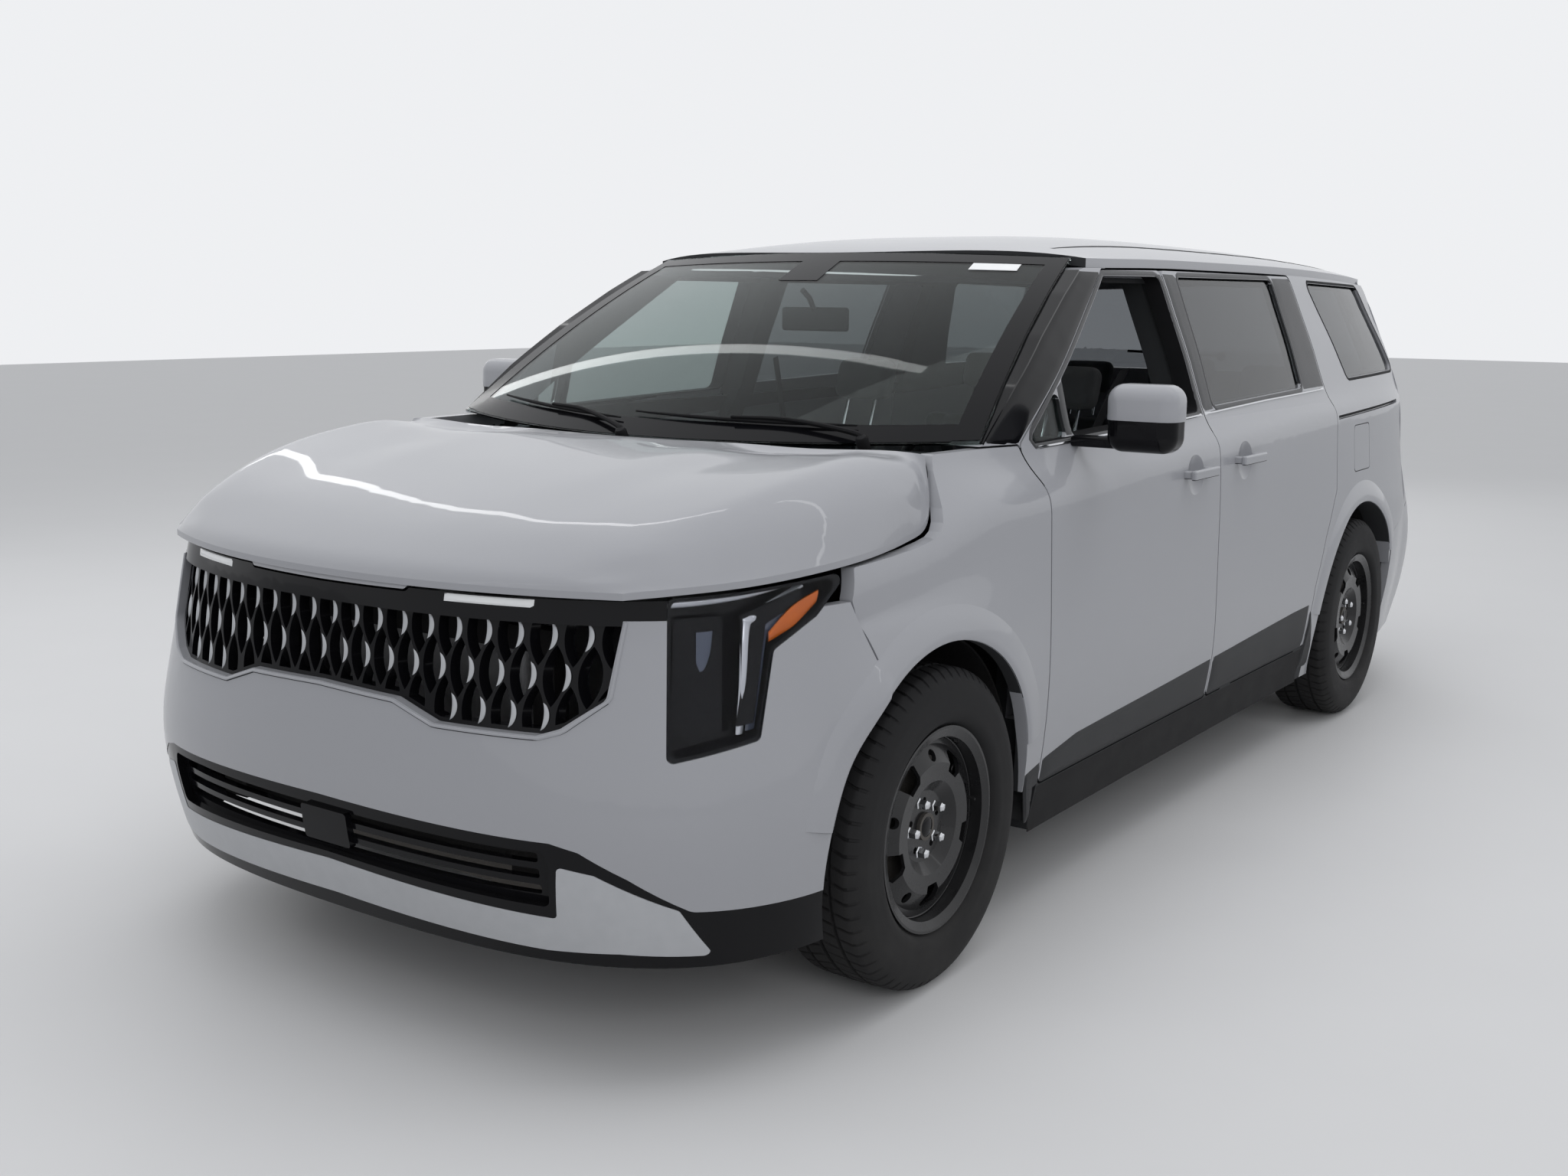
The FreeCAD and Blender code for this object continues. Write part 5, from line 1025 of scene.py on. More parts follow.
def lamp_band(upper, lower, depth, thick, count=40, rows=6):
    """A bar between two lines on the skin (millimetres), set in by a depth, with round edges."""
    top = smooth_path(np.array(upper) / 1000, count)
    foot = smooth_path(np.array(lower) / 1000, count)
    s = np.linspace(0, 1, rows)[:, None, None]
    face = foot[None] * (1 - s) + top[None] * s
    rounding = (1 - np.abs(2 * s - 1) ** 3) * thick * 0.6
    return slab(face + INWARD * (depth - rounding), face + INWARD * (depth + thick))


lamp_silver = mottled_finish("lamp_silver", (0.56, 0.57, 0.60), (0.64, 0.65, 0.68), 14.0,
                             (0.22, 0.30), None, 0.0, Metallic=0.6, Coat_Weight=0.5)
lamp_smoke = mottled_finish("lamp_smoke", (0.045, 0.055, 0.085), (0.085, 0.10, 0.14), 9.0,
                            (0.12, 0.22), None, 0.0, Coat_Weight=0.6, Coat_Roughness=0.05)
print("bars are set in along", INWARD.round(2))

# %% [markdown]
# ## The bars of the headlamp
# Each row gives a finish, a slot, the depth behind the skin, the thickness, and the upper and
# lower line in millimetres. The silver pipe bends down from the band to the lamp's foot.

# %% Pipe, side, blade, corner and step
LAMP_BARS = {
    "light_pipe": (lamp_silver, "silver_trim", 0.014, 0.008,
                   [(860, -2252, 700), (853, -2232, 791), (840, -2208, 905), (842, -2196, 925),
                    (858, -2110, 955), (868, -2048, 975)],
                   [(864, -2234, 700), (860, -2212, 791), (850, -2190, 895), (853, -2172, 914),
                    (864, -2100, 942), (874, -2044, 966)]),
    "lamp_side_bar": (lamp_smoke, "lamp_lens", 0.020, 0.006,
                      [(866, -2228, 702), (863, -2206, 791), (854, -2184, 890), (858, -2160, 908),
                       (870, -2090, 935)],
                      [(872, -2206, 704), (871, -2184, 791), (868, -2160, 880), (870, -2140, 895),
                       (878, -2080, 924)]),
    "lamp_blade": (lamp_silver, "silver_trim", 0.011, 0.005,
                   [(742, -2340, 962), (792, -2268, 966), (838, -2190, 971), (866, -2100, 978)],
                   [(742, -2340, 949), (792, -2268, 952), (838, -2190, 960), (866, -2100, 972)]),
    "corner_lamp": (amber, "lamp_lens", 0.014, 0.007,
                    [(874, -2164, 890), (880, -2125, 918), (888, -2088, 940), (902, -2032, 960)],
                    [(874, -2164, 872), (882, -2130, 884), (893, -2098, 900), (902, -2040, 936)]),
    "lamp_step": (lamp_smoke, "lamp_lens", 0.030, 0.006,
                  [(800, -2296, 900), (806, -2304, 800), (812, -2314, 712)],
                  [(815, -2262, 900), (824, -2272, 800), (830, -2284, 712)]),
}
for name, (finish, slot, depth, thick, upper, lower) in LAMP_BARS.items():
    both_sides(name, lamp_band(upper, lower, depth, thick), finish, "body")
print("headlamp bars", 2 * len(LAMP_BARS))

# %% [markdown]
# ## Window surrounds
# The van's glasshouse is dark, with a satin frame round each window. Each frame is a thin band
# pressed on the skin, and rides on the door or side that carries it.

# %% Satin frames
satin = mottled_finish("satin_frame", (0.030, 0.031, 0.034), (0.040, 0.041, 0.044), 8.0,
                       (0.34, 0.44), (1500, 0.0001), 0.05)
FRONT_GLASS = [(-1.082, 1.190), (-0.064, 1.216), (-0.072, 1.606), (-0.458, 1.604), (-0.880, 1.338),
               (-1.070, 1.212)]
SLIDING_GLASS = [(0.058, 1.226), (0.885, 1.245), (0.906, 1.606), (0.068, 1.606)]
QUARTER_GLASS = [(1.440, 1.258), (2.140, 1.266), (2.010, 1.588), (1.290, 1.600)]
both_sides("front_window_frame", side_frame(FRONT_GLASS, ["front_door_left"], 0.0012, 0.0150, 0.002),
           satin, "front_door_left")
both_sides("sliding_window_frame", side_frame(SLIDING_GLASS, ["sliding_doors"], 0.0012, 0.0150, 0.002),
           satin, "body")
both_sides("quarter_window_frame", side_frame(QUARTER_GLASS, ["side_left"], 0.0012, 0.0110, 0.0015),
           matte_black, "body")
print("window frames placed")

# %% [markdown]
# ## Posts and pillars
# Between the windows the posts are covered with satin panels, and the windscreen pillar with
# gloss black. The open front window also shows the black channel that the pane runs in.

# %% Posts, run channel and windscreen pillar
corner_bar = side_strip([(-0.908, 1.200), (-0.908, 1.318)], [(-0.878, 1.200), (-0.878, 1.334)],
                        ["front_door_left"], 0.002, 5, 20)
both_sides("corner_bar", corner_bar, satin, "front_door_left")
front_post = side_strip([(-0.062, 1.206), (-0.070, 1.612)], [(-0.040, 1.206), (-0.050, 1.612)],
                        ["front_door_left"], 0.0025, 7, 40)
both_sides("front_door_post", front_post, satin, "front_door_left")
flat = outline_path(FRONT_GLASS, 200, 0.0014)
grid = np.concatenate([np.zeros((1, 200, 1)), flat[None]], -1)
rim_line = pressed(grid, ["front_door_left"], "X", 1)
depth = np.linspace(0, 0.055, 6)[:, None, None] * np.array((-1.0, 0, 0))
inner_flat = outline_path(FRONT_GLASS, 200, -0.0016)
inner_line = np.concatenate([rim_line[..., :1], inner_flat[None]], -1)
run = frame_slab(rim_line + depth, inner_line + depth)
both_sides("window_run", run, matte_black, "front_door_left")
rear_post = side_strip([(-0.024, 1.214), (-0.034, 1.614)], [(0.050, 1.218), (0.060, 1.612)],
                       ["sliding_doors"], 0.0025, 7, 40)
both_sides("sliding_door_post", rear_post, satin, "body")
aft_post = side_strip([(0.900, 1.240), (0.922, 1.612)], [(1.122, 1.242), (1.108, 1.612)],
                      ["sliding_doors"], 0.002, 9, 40)
both_sides("sliding_door_rear_post", aft_post, satin, "body")
pillar = side_strip([(-1.292, 1.204), (-1.110, 1.331), (-0.924, 1.446), (-0.732, 1.551), (-0.602, 1.614)],
                    [(-1.150, 1.190), (-0.960, 1.308), (-0.790, 1.415), (-0.620, 1.522), (-0.472, 1.613)],
                    ["side_left"], 0.002, 9, 70)
both_sides("windscreen_pillar", pillar, gloss_black, "body")
print("posts and pillars placed")

# %% [markdown]
# ## Belt line
# A thin bright strip closes the foot of the windows. It is split at the door gap, because each
# part rides with its own door.

# %% Belt strips
belt = side_strip([(-1.076, 1.1845), (-0.600, 1.196), (-0.048, 1.2105)],
                  [(-1.076, 1.1765), (-0.600, 1.188), (-0.048, 1.2025)], ["front_door_left"], 0.004, 5, 80)
both_sides("belt_strip_front", belt, chrome, "front_door_left")
belt = side_strip([(-0.022, 1.2115), (0.500, 1.2265), (1.116, 1.2375)],
                  [(-0.022, 1.2035), (0.500, 1.2185), (1.116, 1.2295)], ["sliding_doors"], 0.004, 5, 80)
both_sides("belt_strip_sliding", belt, chrome, "body")
print("belt strips placed")

# %% [markdown]
# ## Slide slot and roof channels
# The sliding door's rail lies in a black slot in the rear side, and two dark channels run along
# the roof where its skin is joined. Both are strips pressed on the body, one along X, one down.

# %% Slide rail's slot and roof channels
slot_floor = side_strip([(1.154, 1.1365), (2.041, 1.1525)], [(1.154, 1.1255), (2.041, 1.1415)],
                        ["side_left"], 0.003, 5, 60)
both_sides("slide_slot_floor", slot_floor, matte_black, "body")
rows = np.linspace(-0.007, 0.007, 5)[:, None]
y = np.linspace(-0.40, 2.12, 80)[None]
x = 0.575 + 0.030 * (1 - ((y - 0.8) / 1.4) ** 2)
roof_grid = np.stack([x + rows, y + 0 * rows, 0 * x + 0 * rows], -1)
channel = pressed(roof_grid, ["roof"], "Z", 1)
front, back = lifted(channel, "Z", 1, 0.0016 * pillow(5, 80, 4))
both_sides("roof_channel", slab(front, back), matte_black, "body")
print("slot and channels")

# %% [markdown]
# ## Windscreen border, wipers and cowl
# The windscreen's edge is printed black from inside, which hides the glue. The print lies just
# over the pane, on the same curved surface: x, y and z are polynomials of the share across and
# the share up. Two wipers rest at the foot.


# %% Black border on the windscreen
def windscreen_spot(w, u, out=0.0):
    """Place on the windscreen by shares across (-1 to 1) and up (0 to 1), moved outward."""
    bow = 0.104 * u * (1 - u)
    x = w * (0.862 - 0.150 * u)
    y = -1.508 + 0.208 * w ** 2 + u * (0.860 - 0.098 * w ** 2) - 0.45 * (bow + out)
    z = 1.184 + 0.022 * w ** 2 + u * (0.484 - 0.038 * w ** 2) + 0.89 * (bow + out)
    return np.stack([x + 0 * u, y, z], -1)


def windscreen_patch(w0, w1, u0, u1, rows, cols, out=0.0012):
    """A thin closed patch on the windscreen between two shares each way."""
    w = np.linspace(w0, w1, cols)[None] + 0 * np.linspace(u0, u1, rows)[:, None]
    u = np.linspace(u0, u1, rows)[:, None] + 0 * w
    return slab(windscreen_spot(w, u, out), windscreen_spot(w, u, 0.0002))


border = windscreen_patch(0.925, 0.995, 0.01, 0.99, 40, 4)
border += windscreen_patch(-0.995, -0.925, 0.01, 0.99, 40, 4)
border += windscreen_patch(-0.925, 0.925, 0.005, 0.075, 5, 60)
border += windscreen_patch(-0.925, 0.925, 0.935, 0.992, 5, 60)
border += windscreen_patch(-0.09, 0.09, 0.80, 0.935, 6, 12)
make_piece("windscreen_border", border, gloss_black, "body")
label_white = mottled_finish("paper_white", (0.70, 0.71, 0.72), (0.76, 0.77, 0.78), 30.0, (0.5, 0.6))
make_piece("corner_sticker", windscreen_patch(0.66, 0.84, 0.885, 0.930, 4, 8, 0.0016), label_white,
           "body")
print("windscreen border")

# %% [markdown]
# ## Finisher beside the windscreen
# The pillar has a narrow front face between the pane and its outer skin, black on the real van.
# The band follows the pillar's front edge, and its width is the distance from pane to skin.

# %% Finisher on the pillar's front face
PILLAR_EDGE = [(-0.604, 1.6157), (-0.735, 1.5525), (-0.928, 1.4470), (-1.116, 1.3299), (-1.296, 1.2027)]
front_line = straight_path(PILLAR_EDGE, 60)
tangent = unit(np.gradient(front_line, axis=0))
out_of = np.stack([0 * tangent[:, 0], tangent[:, 1], -tangent[:, 0]], -1)
behind = np.concatenate([np.zeros((60, 1)), front_line - 0.006 * out_of[:, 1:]], -1)[None]
outer_x = pressed(behind, ["side_left"], "X", 1)[0, :, 0] + 0.001
inner_x = 0.862 - 0.150 * np.clip((front_line[:, 1] - 1.206) / 0.446, 0, 1) - 0.006
s = np.linspace(0, 1, 6)[:, None]
wide = np.stack([inner_x * (1 - s) + outer_x * s, front_line[:, 0] + 0 * s, front_line[:, 1] + 0 * s], -1)
if out_of[:, 2].mean() < 0:
    out_of = -out_of
both_sides("pillar_finisher", slab(wide + 0.0022 * out_of, wide - 0.0030 * out_of), gloss_black,
           "body")
print("finisher is", round(float((outer_x - inner_x).mean()), 3), "m wide")

# %% [markdown]
# ## Wipers
# Each wiper is a thin blade that swells in its middle, an arm that bends from its hub to the
# blade, and a capped hub. All three follow the pane's formula, a little above it.

# %% Wipers
wiper_shapes = []
for root, tip, pivot in ((0.66, -0.10, 0.70), (-0.14, -0.80, -0.08)):
    share = np.linspace(0, 1, 40)
    w = root + (tip - root) * share
    blade_line = windscreen_spot(w, 0.060 + 0.030 * share, 0.010)
    wiper_shapes += tube(blade_line, 0.0055 * (0.35 + 0.65 * np.sin(np.pi * (0.04 + 0.92 * share))), 8)
    rest = windscreen_spot(w, 0.060 + 0.030 * share, 0.018)
    hub = windscreen_spot(np.array([pivot]), np.array([-0.005]), 0.012)[0]
    arm = smooth_path([hub, hub * 0.75 + rest[4] * 0.25 + (0, 0, 0.008), rest[10], rest[20]], 30)
    wiper_shapes += tube(arm, np.linspace(0.0085, 0.0045, 30), 8)
    wiper_shapes += turned([(0, -0.03), (0.016, -0.03), (0.016, 0.006), (0.012, 0.012), (0, 0.014)],
                           hub, (0, -0.45, 0.89), 24)
make_piece("wipers", wiper_shapes, matte_black, "body")
print("wipers", len(wiper_shapes), "parts")

# %% [markdown]
# ## Arch flares, cladding and sill
# A raised flare runs round each wheel opening in body colour. It is drawn in polar form about
# the axle: radius from the opening's edge outward, height falling to nothing, because a polar
# grid keeps its lines along the arch.


# %% Flares
def flare(axle, opening, on, first, last, wide=0.078, proud=0.0075):
    """A polar strip about an axle: rise = proud * rounded shoulder that fades outward."""
    a = np.radians(np.linspace(first, last, 90))[None]
    s = np.linspace(0, 1, 12)[:, None]
    r = opening + 0.001 + wide * s
    grid = np.stack([0 * r * a, axle - r * np.cos(a), WHEEL_Z + r * np.sin(a)], -1)
    skin = pressed(grid, on, "X", 1)
    rise = proud * np.minimum(1, 6 * s + 0.3) * (1 - s ** 3) ** 1.2
    return slab(*lifted(skin, "X", 1, rise + 0 * a, 0.003))


FRONT_ARCH, REAR_ARCH = 0.430, 0.436
front_flare = flare(FRONT_AXLE, FRONT_ARCH, ["fenders", "front_bumper", "side_left"], 14, 166)
both_sides("front_flare", front_flare, paint, "body")
rear_flare = flare(REAR_AXLE, REAR_ARCH, ["side_left", "rear_bumper"], 10, 152)
both_sides("rear_flare", rear_flare, paint, "body")
print("flares round openings of", FRONT_ARCH, "and", REAR_ARCH, "m")

# %% [markdown]
# ## Cladding and sill
# Dark cladding covers the foot of the doors. Its upper edge rises toward the rear in straight
# runs, so each door's stretch is a strip under one shared line, split at the gaps.

# %% Cladding and sill
TOP_OF_CLADDING = [(-1.214, 0.392), (-0.957, 0.436), (-0.466, 0.450), (0.119, 0.469), (0.745, 0.494),
                   (0.905, 0.497)]


def cladding_top(y):
    """Height of the cladding's upper edge at a station."""
    stations, heights = zip(*TOP_OF_CLADDING)
    return float(np.interp(y, stations, heights))


def cladding_piece(y0, y1, foot, on, proud=0.006):
    """The stretch of cladding between two stations."""
    stations = np.linspace(y0, y1, 7)
    upper = [(y, cladding_top(y)) for y in stations]
    lower = [(y, foot) for y in stations]
    return side_strip(upper, lower, on, proud, 9, 70, 6)


both_sides("cladding_door", cladding_piece(-1.118, 0.000, 0.350, ["front_door_left"]), cladding,
           "front_door_left")
both_sides("cladding_sliding", cladding_piece(0.021, 0.896, 0.350, ["sliding_doors"]), cladding,
           "body")
nose_end = side_strip([(-1.212, 0.388), (-1.134, 0.404)], [(-1.200, 0.262), (-1.134, 0.262)],
                      ["side_left", "fenders"], 0.006, 9, 16, 6)
both_sides("cladding_front_end", nose_end, cladding, "body")
rear_end = side_strip([(0.916, 0.494), (0.945, 0.440), (0.985, 0.345)],
                      [(0.912, 0.262), (0.945, 0.262), (0.995, 0.262)],
                      ["side_left"], 0.006, 9, 16, 6)
both_sides("cladding_rear_end", rear_end, cladding, "body")
sill = side_strip([(-1.128, 0.338), (0.910, 0.338)], [(-1.128, 0.215), (0.910, 0.215)],
                  ["side_left"], 0.004, 7, 90, 6)
both_sides("sill", sill, matte_black, "body")
print("cladding from", round(cladding_top(-1.118), 3), "up to", round(cladding_top(0.896), 3), "m high")

# %% [markdown]
# ## Mirrors
# The upper half of each mirror wears a painted cap: a soft block a little larger than the
# housing, flattened at the joint line. The glass is a bright plate pressed on the rear face.

# %% Mirror caps and glass
rows, cols = 12, 24
s = np.linspace(0, 1, rows)[:, None]
t = np.linspace(0, 1, cols)[None]
CAP_HALF, CAP_ROUND = (0.0937, 0.0572, 0.0857), 0.0415
CAP_CENTRE, CAP_FOOT = (1.0945, -0.878, 1.2495), 1.246
cap = soft_box(CAP_HALF, CAP_ROUND, 8) + CAP_CENTRE
cap[..., 2] = np.maximum(cap[..., 2], CAP_FOOT)
both_sides("mirror_cap", [grid_shape(cap, wrap_cols=True)], paint, "front_door_left")
mirror_silver = mottled_finish("mirror_glass", (0.72, 0.74, 0.76), (0.76, 0.78, 0.80), 4.0,
                               (0.01, 0.03), None, 0.0, Metallic=1.0)
glass_grid = np.stack([1.030 + 0.132 * t + 0 * s, 0 * s * t, 1.190 + 0.120 * s + 0 * t], -1)
glass_skin = pressed(glass_grid, ["mirror_left"], "Y", 1)
glass_skin[..., 1] = np.median(glass_skin[..., 1])
both_sides("mirror_glass", slab(*lifted(glass_skin, "Y", 1, 0.0018 * pillow(rows, cols, 8), 0.001)),
           mirror_silver, "front_door_left")
print("mirror glass at y", round(float(glass_skin[0, 0, 1]), 3))

# %% [markdown]
# ## The tail
# The lower edge of the tail is black, with a red reflector at each side. A wiper lies on the
# rear window, and a bare plate sits on its two screws.

# %% Rear valance, reflectors, plate and wiper
valance = front_strip([(-0.780, 0.392), (0.780, 0.392)], [(-0.760, 0.236), (0.760, 0.236)],
                      ["rear_bumper"], 0.004, 9, 90, side=1)
make_piece("rear_valance", valance, cladding, "body")
reflector = front_strip([(0.600, 0.438), (0.760, 0.446)], [(0.600, 0.418), (0.760, 0.426)],
                        ["rear_bumper"], 0.005, 5, 24, side=1, power=4)
both_sides("rear_reflector", reflector, red_lens, "body")
plate_grey = mottled_finish("bare_plate", (0.30, 0.31, 0.33), (0.36, 0.37, 0.39), 16.0, (0.35, 0.45))
plate = front_strip([(-0.152, 1.010), (0.152, 1.010)], [(-0.152, 0.862), (0.152, 0.862)],
                    ["tailgate"], 0.004, 9, 24, side=1, power=20)
make_piece("rear_plate", plate, plate_grey, "tailgate")
handle_bar = front_strip([(-0.300, 1.105), (0.300, 1.105)], [(-0.300, 1.060), (0.300, 1.060)],
                         ["tailgate"], 0.014, 9, 60, side=1, power=4)
make_piece("rear_handle_bar", handle_bar, gloss_black, "tailgate")
line = np.stack([np.linspace(0.02, -0.42, 30), np.zeros(30), np.linspace(1.285, 1.300, 30)], -1)[None]
rear_line = pressed(line, ["tailgate_glass"], "Y", 1)[0]
rear_line[:, 1] += 0.012
rear_wiper = tube(rear_line, 0.006, 8)
hub = rear_line[0] + (0, -0.004, 0)
rear_wiper += turned([(0, -0.012), (0.020, -0.012), (0.018, 0.012), (0.010, 0.018), (0, 0.019)], hub,
                     (0, 0.94, 0.34), 24)
make_piece("rear_wiper", rear_wiper, matte_black, "tailgate")
print("rear wiper", len(rear_line), "rings along")

# %% [markdown]
# ## Seats
# A car seat is foam under tight cloth: crowned faces, raised side bolsters, rounded corners and
# sewn channels. Each pad starts as a rounded block, is remeshed evenly, gets its bolsters from a
# formula, and is then blown up a little as cloth with pressure, its movement capped. The seams
# are pressed in afterwards, because a remesh would close them. One pad of each kind is made and
# then set in its places.

# %% Pads as cloth
RAKE = math.radians(20)
UPWARD = np.array((0.0, math.sin(RAKE), math.cos(RAKE)))
FORWARD = np.array((0.0, -math.cos(RAKE), math.sin(RAKE)))
BOLSTER_FROM, BOLSTER_RISE = 0.52, 0.30   # shares of the half width where a bolster starts and climbs


def pad_start(name, half, radius, voxel, bolster):
    """A rounded block, remeshed to even quads, with its upper face raised towards both sides."""
    points, quads = grid_shape(soft_box(half, radius, 5), wrap_cols=True)
    mesh = bpy.data.meshes.new(name)
    mesh.from_pydata(points.tolist(), [], quads.tolist())
    form = bmesh.new()
    form.from_mesh(mesh)
    bmesh.ops.remove_doubles(form, verts=form.verts, dist=1e-5)
    bmesh.ops.recalc_face_normals(form, faces=form.faces)
    form.to_mesh(mesh)
    form.free()
    holder = bpy.data.objects.new(name, mesh)
    bpy.context.scene.collection.objects.link(holder)
    even = holder.modifiers.new("even", "REMESH")
    even.mode = "VOXEL"
    even.voxel_size = voxel
    graph = bpy.context.evaluated_depsgraph_get()
    holder.data = bpy.data.meshes.new_from_object(holder.evaluated_get(graph))
    holder.modifiers.clear()
    place = vertex_places(holder.data)
    out = np.clip((np.abs(place[:, 0]) / half[0] - BOLSTER_FROM) / BOLSTER_RISE, 0, 1)
    raised = bolster * (3 * out ** 2 - 2 * out ** 3) * (place[:, 2] > 0)
    set_places(holder.data, place + raised[:, None] * (0, 0, 1))
    return holder


def vertex_places(mesh):
    """All vertex places of a mesh as an array."""
    flat = np.empty(len(mesh.vertices) * 3)
    mesh.vertices.foreach_get("co", flat)
    return flat.reshape(-1, 3)


def set_places(mesh, places):
    """Writes vertex places back into a mesh."""
    mesh.vertices.foreach_set("co", np.ascontiguousarray(places, float).ravel())
    mesh.update()


print("pad starts ready")

# %% [markdown]
# ## Pressure
# Foam fills its cover from within, as air would. So the pads become cloth with pressure and no
# gravity for 20 frames, all in one run. The movement is capped, which keeps them on the frame.


# %% Blow up the pads
def blow_up(holders, cap):
    """Cloth under pressure for 20 frames, all pads together; no point moves further than cap."""
    before = [vertex_places(holder.data) for holder in holders]
    for holder in holders:
        cloth = holder.modifiers.new("cloth", "CLOTH")
        cloth.settings.use_pressure = True
        cloth.settings.uniform_pressure_force = 4.0
        cloth.settings.effector_weights.gravity = 0.0
        cloth.settings.quality = 4
        cloth.point_cache.frame_start = 1
        cloth.point_cache.frame_end = 20
    for frame_number in range(1, 21):
        bpy.context.scene.frame_set(frame_number)
    graph = bpy.context.evaluated_depsgraph_get()
    after = []
    for holder in holders:
        soft = holder.evaluated_get(graph).to_mesh()
        after.append(vertex_places(soft))
        holder.evaluated_get(graph).to_mesh_clear()
    for holder, old, new in zip(holders, before, after):
        holder.modifiers.clear()
        step = new - old
        far = np.linalg.norm(step, axis=1, keepdims=True)
        set_places(holder.data, old + step * np.minimum(1, cap / np.maximum(far, 1e-9)))
        print(holder.name, "points", len(old), "moved up to", round(float(far.max()), 4))
    bpy.context.scene.frame_set(1)


print("pressure ready")


# %% Sew and refine
def sew(mesh, lines_along, lines_across, reach, depth=0.0065, wide=0.0065):
    """Presses channels into the upper face: depth * exp(-(distance / wide)^2) from each seam."""
    place = vertex_places(mesh)
    dent = np.zeros(len(place))
    for line in lines_along:
        dent = np.maximum(dent, np.exp(-((place[:, 0] - line) / wide) ** 2))
    for line in lines_across:
        inside = np.clip((reach - np.abs(place[:, 0])) / 0.01, 0, 1)
        dent = np.maximum(dent, inside * np.exp(-((place[:, 1] - line) / wide) ** 2))
    top = np.clip(place[:, 2] / (0.4 * place[:, 2].max()), 0, 1)
    place[:, 2] -= depth * dent * top
    set_places(mesh, place)


def subdivided(holder):
    """Adds one subdivision and makes it real."""
    finer = holder.modifiers.new("finer", "SUBSURF")
    finer.levels = finer.render_levels = 1
    graph = bpy.context.evaluated_depsgraph_get()
    holder.data = bpy.data.meshes.new_from_object(holder.evaluated_get(graph))
    holder.modifiers.clear()


print("pad helpers ready")

# %% [markdown]
# ## The kinds of pad
# Front seats have the highest bolsters and the bench the lowest. Each row gives half width, half
# length and half thickness, the edge's radius, the bolster, and the seams along and across.

# %% The kinds of pad
PADS = {
    "front_cushion": ((0.246, 0.236, 0.052), 0.042, 0.016, (-0.140, 0.140), (-0.070, 0.080)),
    "front_back": ((0.234, 0.286, 0.052), 0.042, 0.018, (-0.132, 0.132), (-0.120, 0.040, 0.180)),
    "second_cushion": ((0.256, 0.236, 0.052), 0.042, 0.010, (-0.150, 0.150), (-0.070, 0.080)),
    "second_back": ((0.244, 0.286, 0.052), 0.042, 0.010, (-0.140, 0.140), (-0.120, 0.040, 0.180)),
    "third_cushion": ((0.574, 0.236, 0.052), 0.042, 0.006, (-0.200, 0.200), (-0.060, 0.090)),
    "third_back": ((0.562, 0.266, 0.052), 0.042, 0.006, (-0.200, 0.200), (-0.100, 0.110)),
    "head_pad": ((0.112, 0.070, 0.034), 0.030, 0.000, (), ()),
}
pads = {}
for name, (half, radius, bolster, along, across) in PADS.items():
    pads[name] = pad_start(name, half, radius, 0.009 if name == "head_pad" else 0.015, bolster)
blow_up(list(pads.values()), 0.012)
for name, (half, radius, bolster, along, across) in PADS.items():
    subdivided(pads[name])
    reach = max(along) if along and name.split("_")[0] != "third" else half[0]
    sew(pads[name].data, along, across, reach)


def set_pad(kind, name, centre, up, out, material, replaces=None):
    """A copy of a pad at its place: point = centre + x * side + y * up + z * out."""
    mesh = pads[kind].data.copy()
    mesh.name = name
    place = vertex_places(mesh)
    aside = np.cross(up, out)
    set_places(mesh, np.asarray(centre) + place[:, :1] * aside + place[:, 1:2] * up + place[:, 2:] * out)
    mesh.materials.clear()
    mesh.materials.append(material)
    mesh.shade_smooth()
    piece = bpy.data.objects.new(name, mesh)
    bpy.context.scene.collection.objects.link(piece)
    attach(piece, "body")
    if replaces:
        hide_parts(replaces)
    return piece


print("pads", {name: len(pad.data.polygons) for name, pad in pads.items()})

# %% [markdown]
# ## Set the seats
# A seat's back leans by 20 degrees, so its pads are placed along an up and a forward direction.
# Behind the foam sits a plastic shell and under it a plinth. Bright posts carry the headrests.

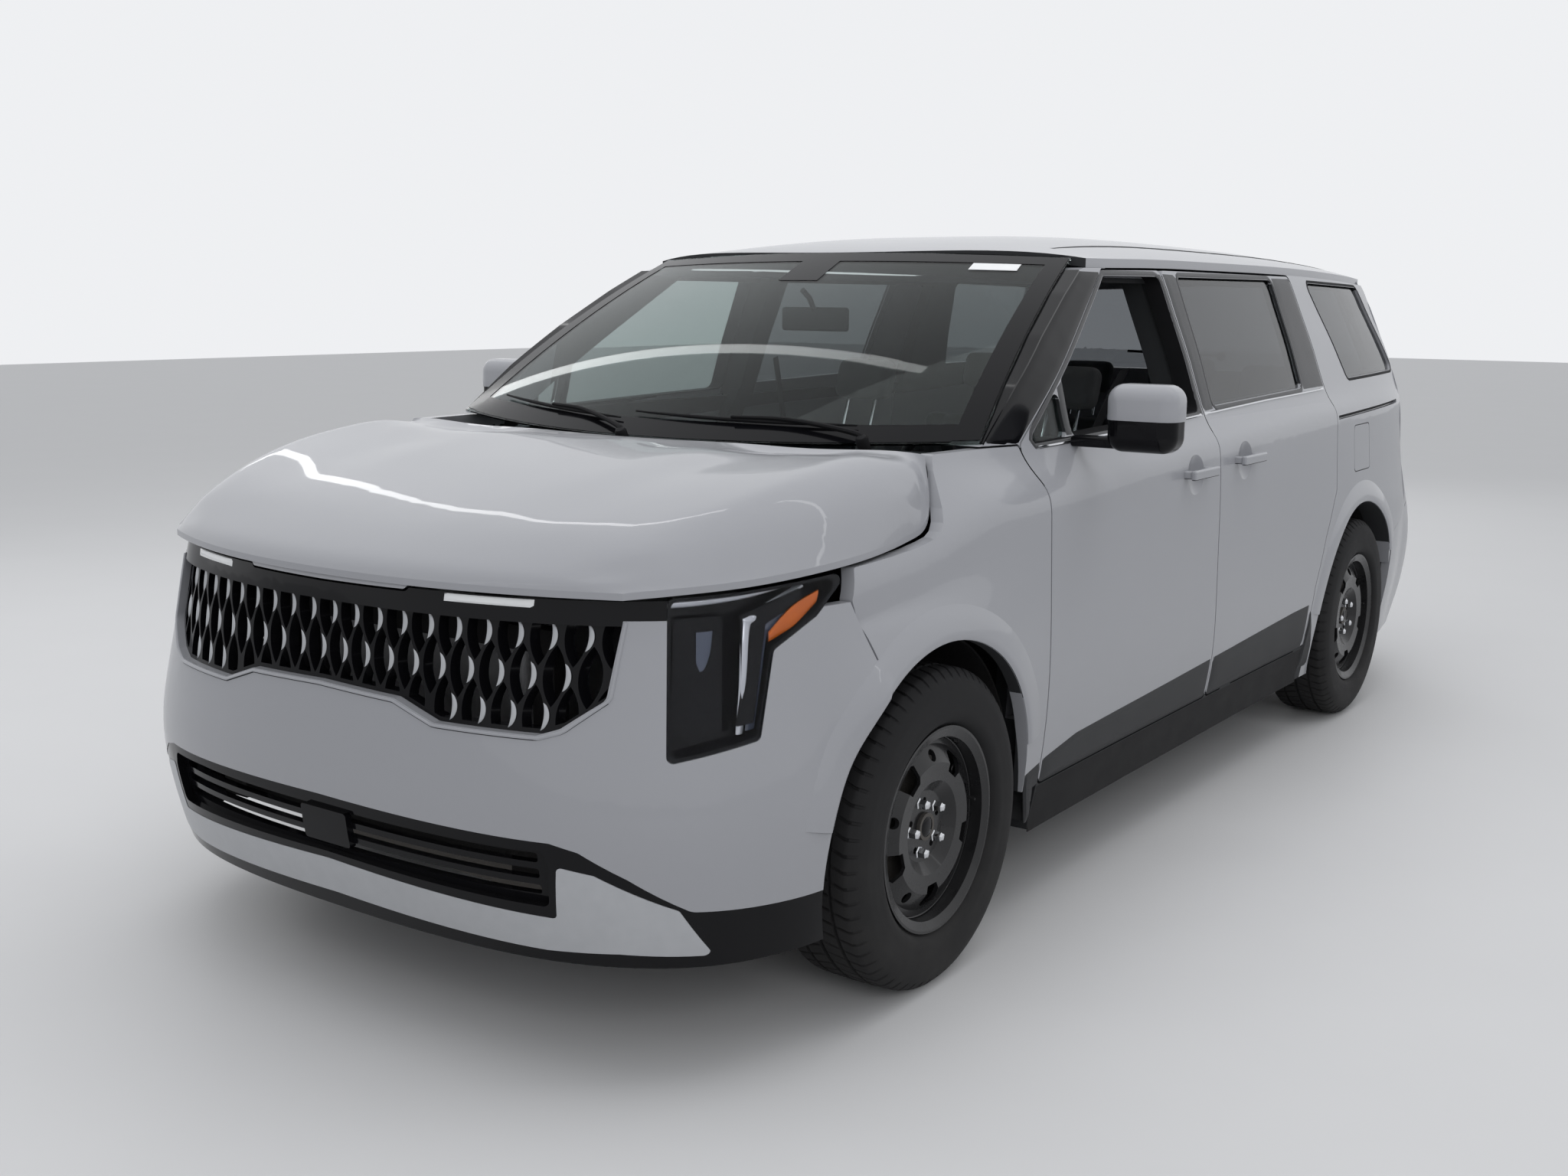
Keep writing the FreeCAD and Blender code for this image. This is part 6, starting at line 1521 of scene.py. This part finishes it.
# %% Set the seats
ROWS = {
    "front_seats": ("front", (-0.385, 0.385), -0.300, 0.520, 0.500, 0.600, (0,)),
    "second_row_seats": ("second", (-0.400, 0.400), 0.640, 0.540, 0.500, 0.600, (0,)),
    "third_row_seat": ("third", (0.0,), 1.560, 1.180, 0.480, 0.560, (-0.4, 0, 0.4)),
}
FLOOR_TOP = 0.345
shells, posts = [], []
for node, (kind, places, y, width, seat_z, back, heads) in ROWS.items():
    for number, x in enumerate(places):
        tag = kind + "_" + "ab"[number]
        set_pad(kind + "_cushion", "cushion_" + tag, (x, y - 0.040, seat_z + 0.062), (0, 1, 0), (0, 0, 1),
                seat_cloth, replaces=node if number == 0 else None)
        foot = np.array((x, y + 0.130, seat_z + 0.060))
        middle = foot + UPWARD * (back / 2) - FORWARD * 0.061
        set_pad(kind + "_back", "back_" + tag, middle, UPWARD, FORWARD, seat_cloth)
        shell = soft_box((width / 2 - 0.022, 0.020, back / 2 - 0.030), 0.018, 5)
        shell = (shell[..., :1] * (1, 0, 0) + shell[..., 1:2] * -FORWARD + shell[..., 2:] * UPWARD
                 + foot + UPWARD * (back / 2) - FORWARD * 0.1145)
        shells.append(grid_shape(shell, wrap_cols=True))
        half = ((width - 0.140) / 2, 0.180, (seat_z + 0.010 - FLOOR_TOP) / 2)
        plinth = soft_box(half, 0.020, 5) + (x, y - 0.020, FLOOR_TOP + half[2])
        shells.append(grid_shape(plinth, wrap_cols=True))
        for head, offset in enumerate(heads):
            top = np.array((x + offset, y + 0.200, seat_z + 0.075)) + UPWARD * (back - 0.020)
            set_pad("head_pad", "head_" + tag + "_" + str(head), top + UPWARD * 0.1445 + FORWARD * 0.003,
                    UPWARD, FORWARD, seat_cloth)
            for side in (-0.055, 0.055):
                root = top + (side, 0, 0)
                posts += tube(np.linspace(root - UPWARD * 0.030, root + UPWARD * 0.100, 6), 0.006, 10)
make_piece("seat_shells", shells, dash, "body")
make_piece("headrest_posts", posts, chrome, "body")
for pad in pads.values():
    bpy.data.objects.remove(pad)
print("seats set, posts", len(posts), "shells", len(shells))

# %% [markdown]
# ## Cabin details
# Through the glass one sees a screen on the dashboard, the hood over the dials and the inner
# mirror. Each is a soft block, because moulded parts have no sharp edge.

# %% Screen, dial hood and inner mirror
screen_black = mottled_finish("screen_glass", (0.004, 0.005, 0.006), (0.007, 0.008, 0.010), 6.0,
                              (0.04, 0.08), None, 0.0, Coat_Weight=0.4, Specular_IOR_Level=0.35)
screen = soft_box((0.150, 0.009, 0.058), 0.008, 5)
tip = math.radians(12)
turn = np.array(((1, 0, 0), (0, math.cos(tip), -math.sin(tip)), (0, math.sin(tip), math.cos(tip))))
screen = screen @ turn.T + (0.0, -0.745, 1.098)
make_piece("dash_screen", [grid_shape(screen, wrap_cols=True)], screen_black, "body")
hood = soft_box((0.190, 0.070, 0.016), 0.015, 5) + (0.385, -0.800, 1.098)
make_piece("instrument_hood", [grid_shape(hood, wrap_cols=True)], dash, "body")
inner = soft_box((0.115, 0.010, 0.034), 0.009, 5) + (0.0, -0.735, 1.475)
stalk = tube([(0, -0.740, 1.500), (0, -0.765, 1.535), (0, -0.800, 1.5565)], 0.008, 10)
make_piece("inner_mirror", [grid_shape(inner, wrap_cols=True)] + stalk, dash, "body")
print("screen leans by", round(math.degrees(tip)), "degrees")

# %% [markdown]
# ## Gear knob and belts
# The knob is a turned profile. A belt is a flat web along a smooth path from the post over the
# seat's side to its anchor, made as a thin slab beside the path.

# %% Gear knob and belts
KNOB = [(0, 0), (0.018, 0), (0.017, 0.030), (0.024, 0.055), (0.024, 0.075), (0.015, 0.088), (0, 0.090)]
knob = turned(KNOB, (0.0, -0.860, 0.756), (0, 0.2, 1), 24)
make_piece("gear_knob", knob, leather, "body")
webbing = mottled_finish("belt_webbing", (0.014, 0.014, 0.016), (0.024, 0.024, 0.026), 60.0,
                         (0.7, 0.85), (900, 0.0002))
path = smooth_path([(0.655, -0.020, 1.330), (0.600, -0.060, 1.180), (0.545, -0.100, 0.980),
                    (0.560, -0.090, 0.800), (0.640, -0.080, 0.650)], 40)
wide = np.linspace(-0.023, 0.023, 3)[:, None, None] * np.array((0.25, 0.95, 0.15))
belt_face = path[None] + wide
half_thick = np.array((-0.0012, 0, 0))
both_sides("seat_belt", slab(belt_face + half_thick, belt_face - half_thick), webbing, "body")
print("belt", len(path), "rings along")

# %% [markdown]
# ## The floor
# A plain pale floor keeps the van's shadow and nothing else. It is a stage, not a piece.

# %% Floor
floor_mesh = bpy.data.meshes.new("studio_floor")
floor_mesh.from_pydata([(-30, -30, 0), (30, -30, 0), (30, 40, 0), (-30, 40, 0)], [], [(0, 1, 2, 3)])
studio_floor = bpy.data.objects.new("studio_floor", floor_mesh)
bpy.context.scene.collection.objects.link(studio_floor)
floor_paint = mottled_finish("floor_paint", (0.62, 0.62, 0.63), (0.66, 0.66, 0.67), 1.5, (0.5, 0.6))
floor_mesh.materials.append(floor_paint)
print("floor", floor_paint.name)
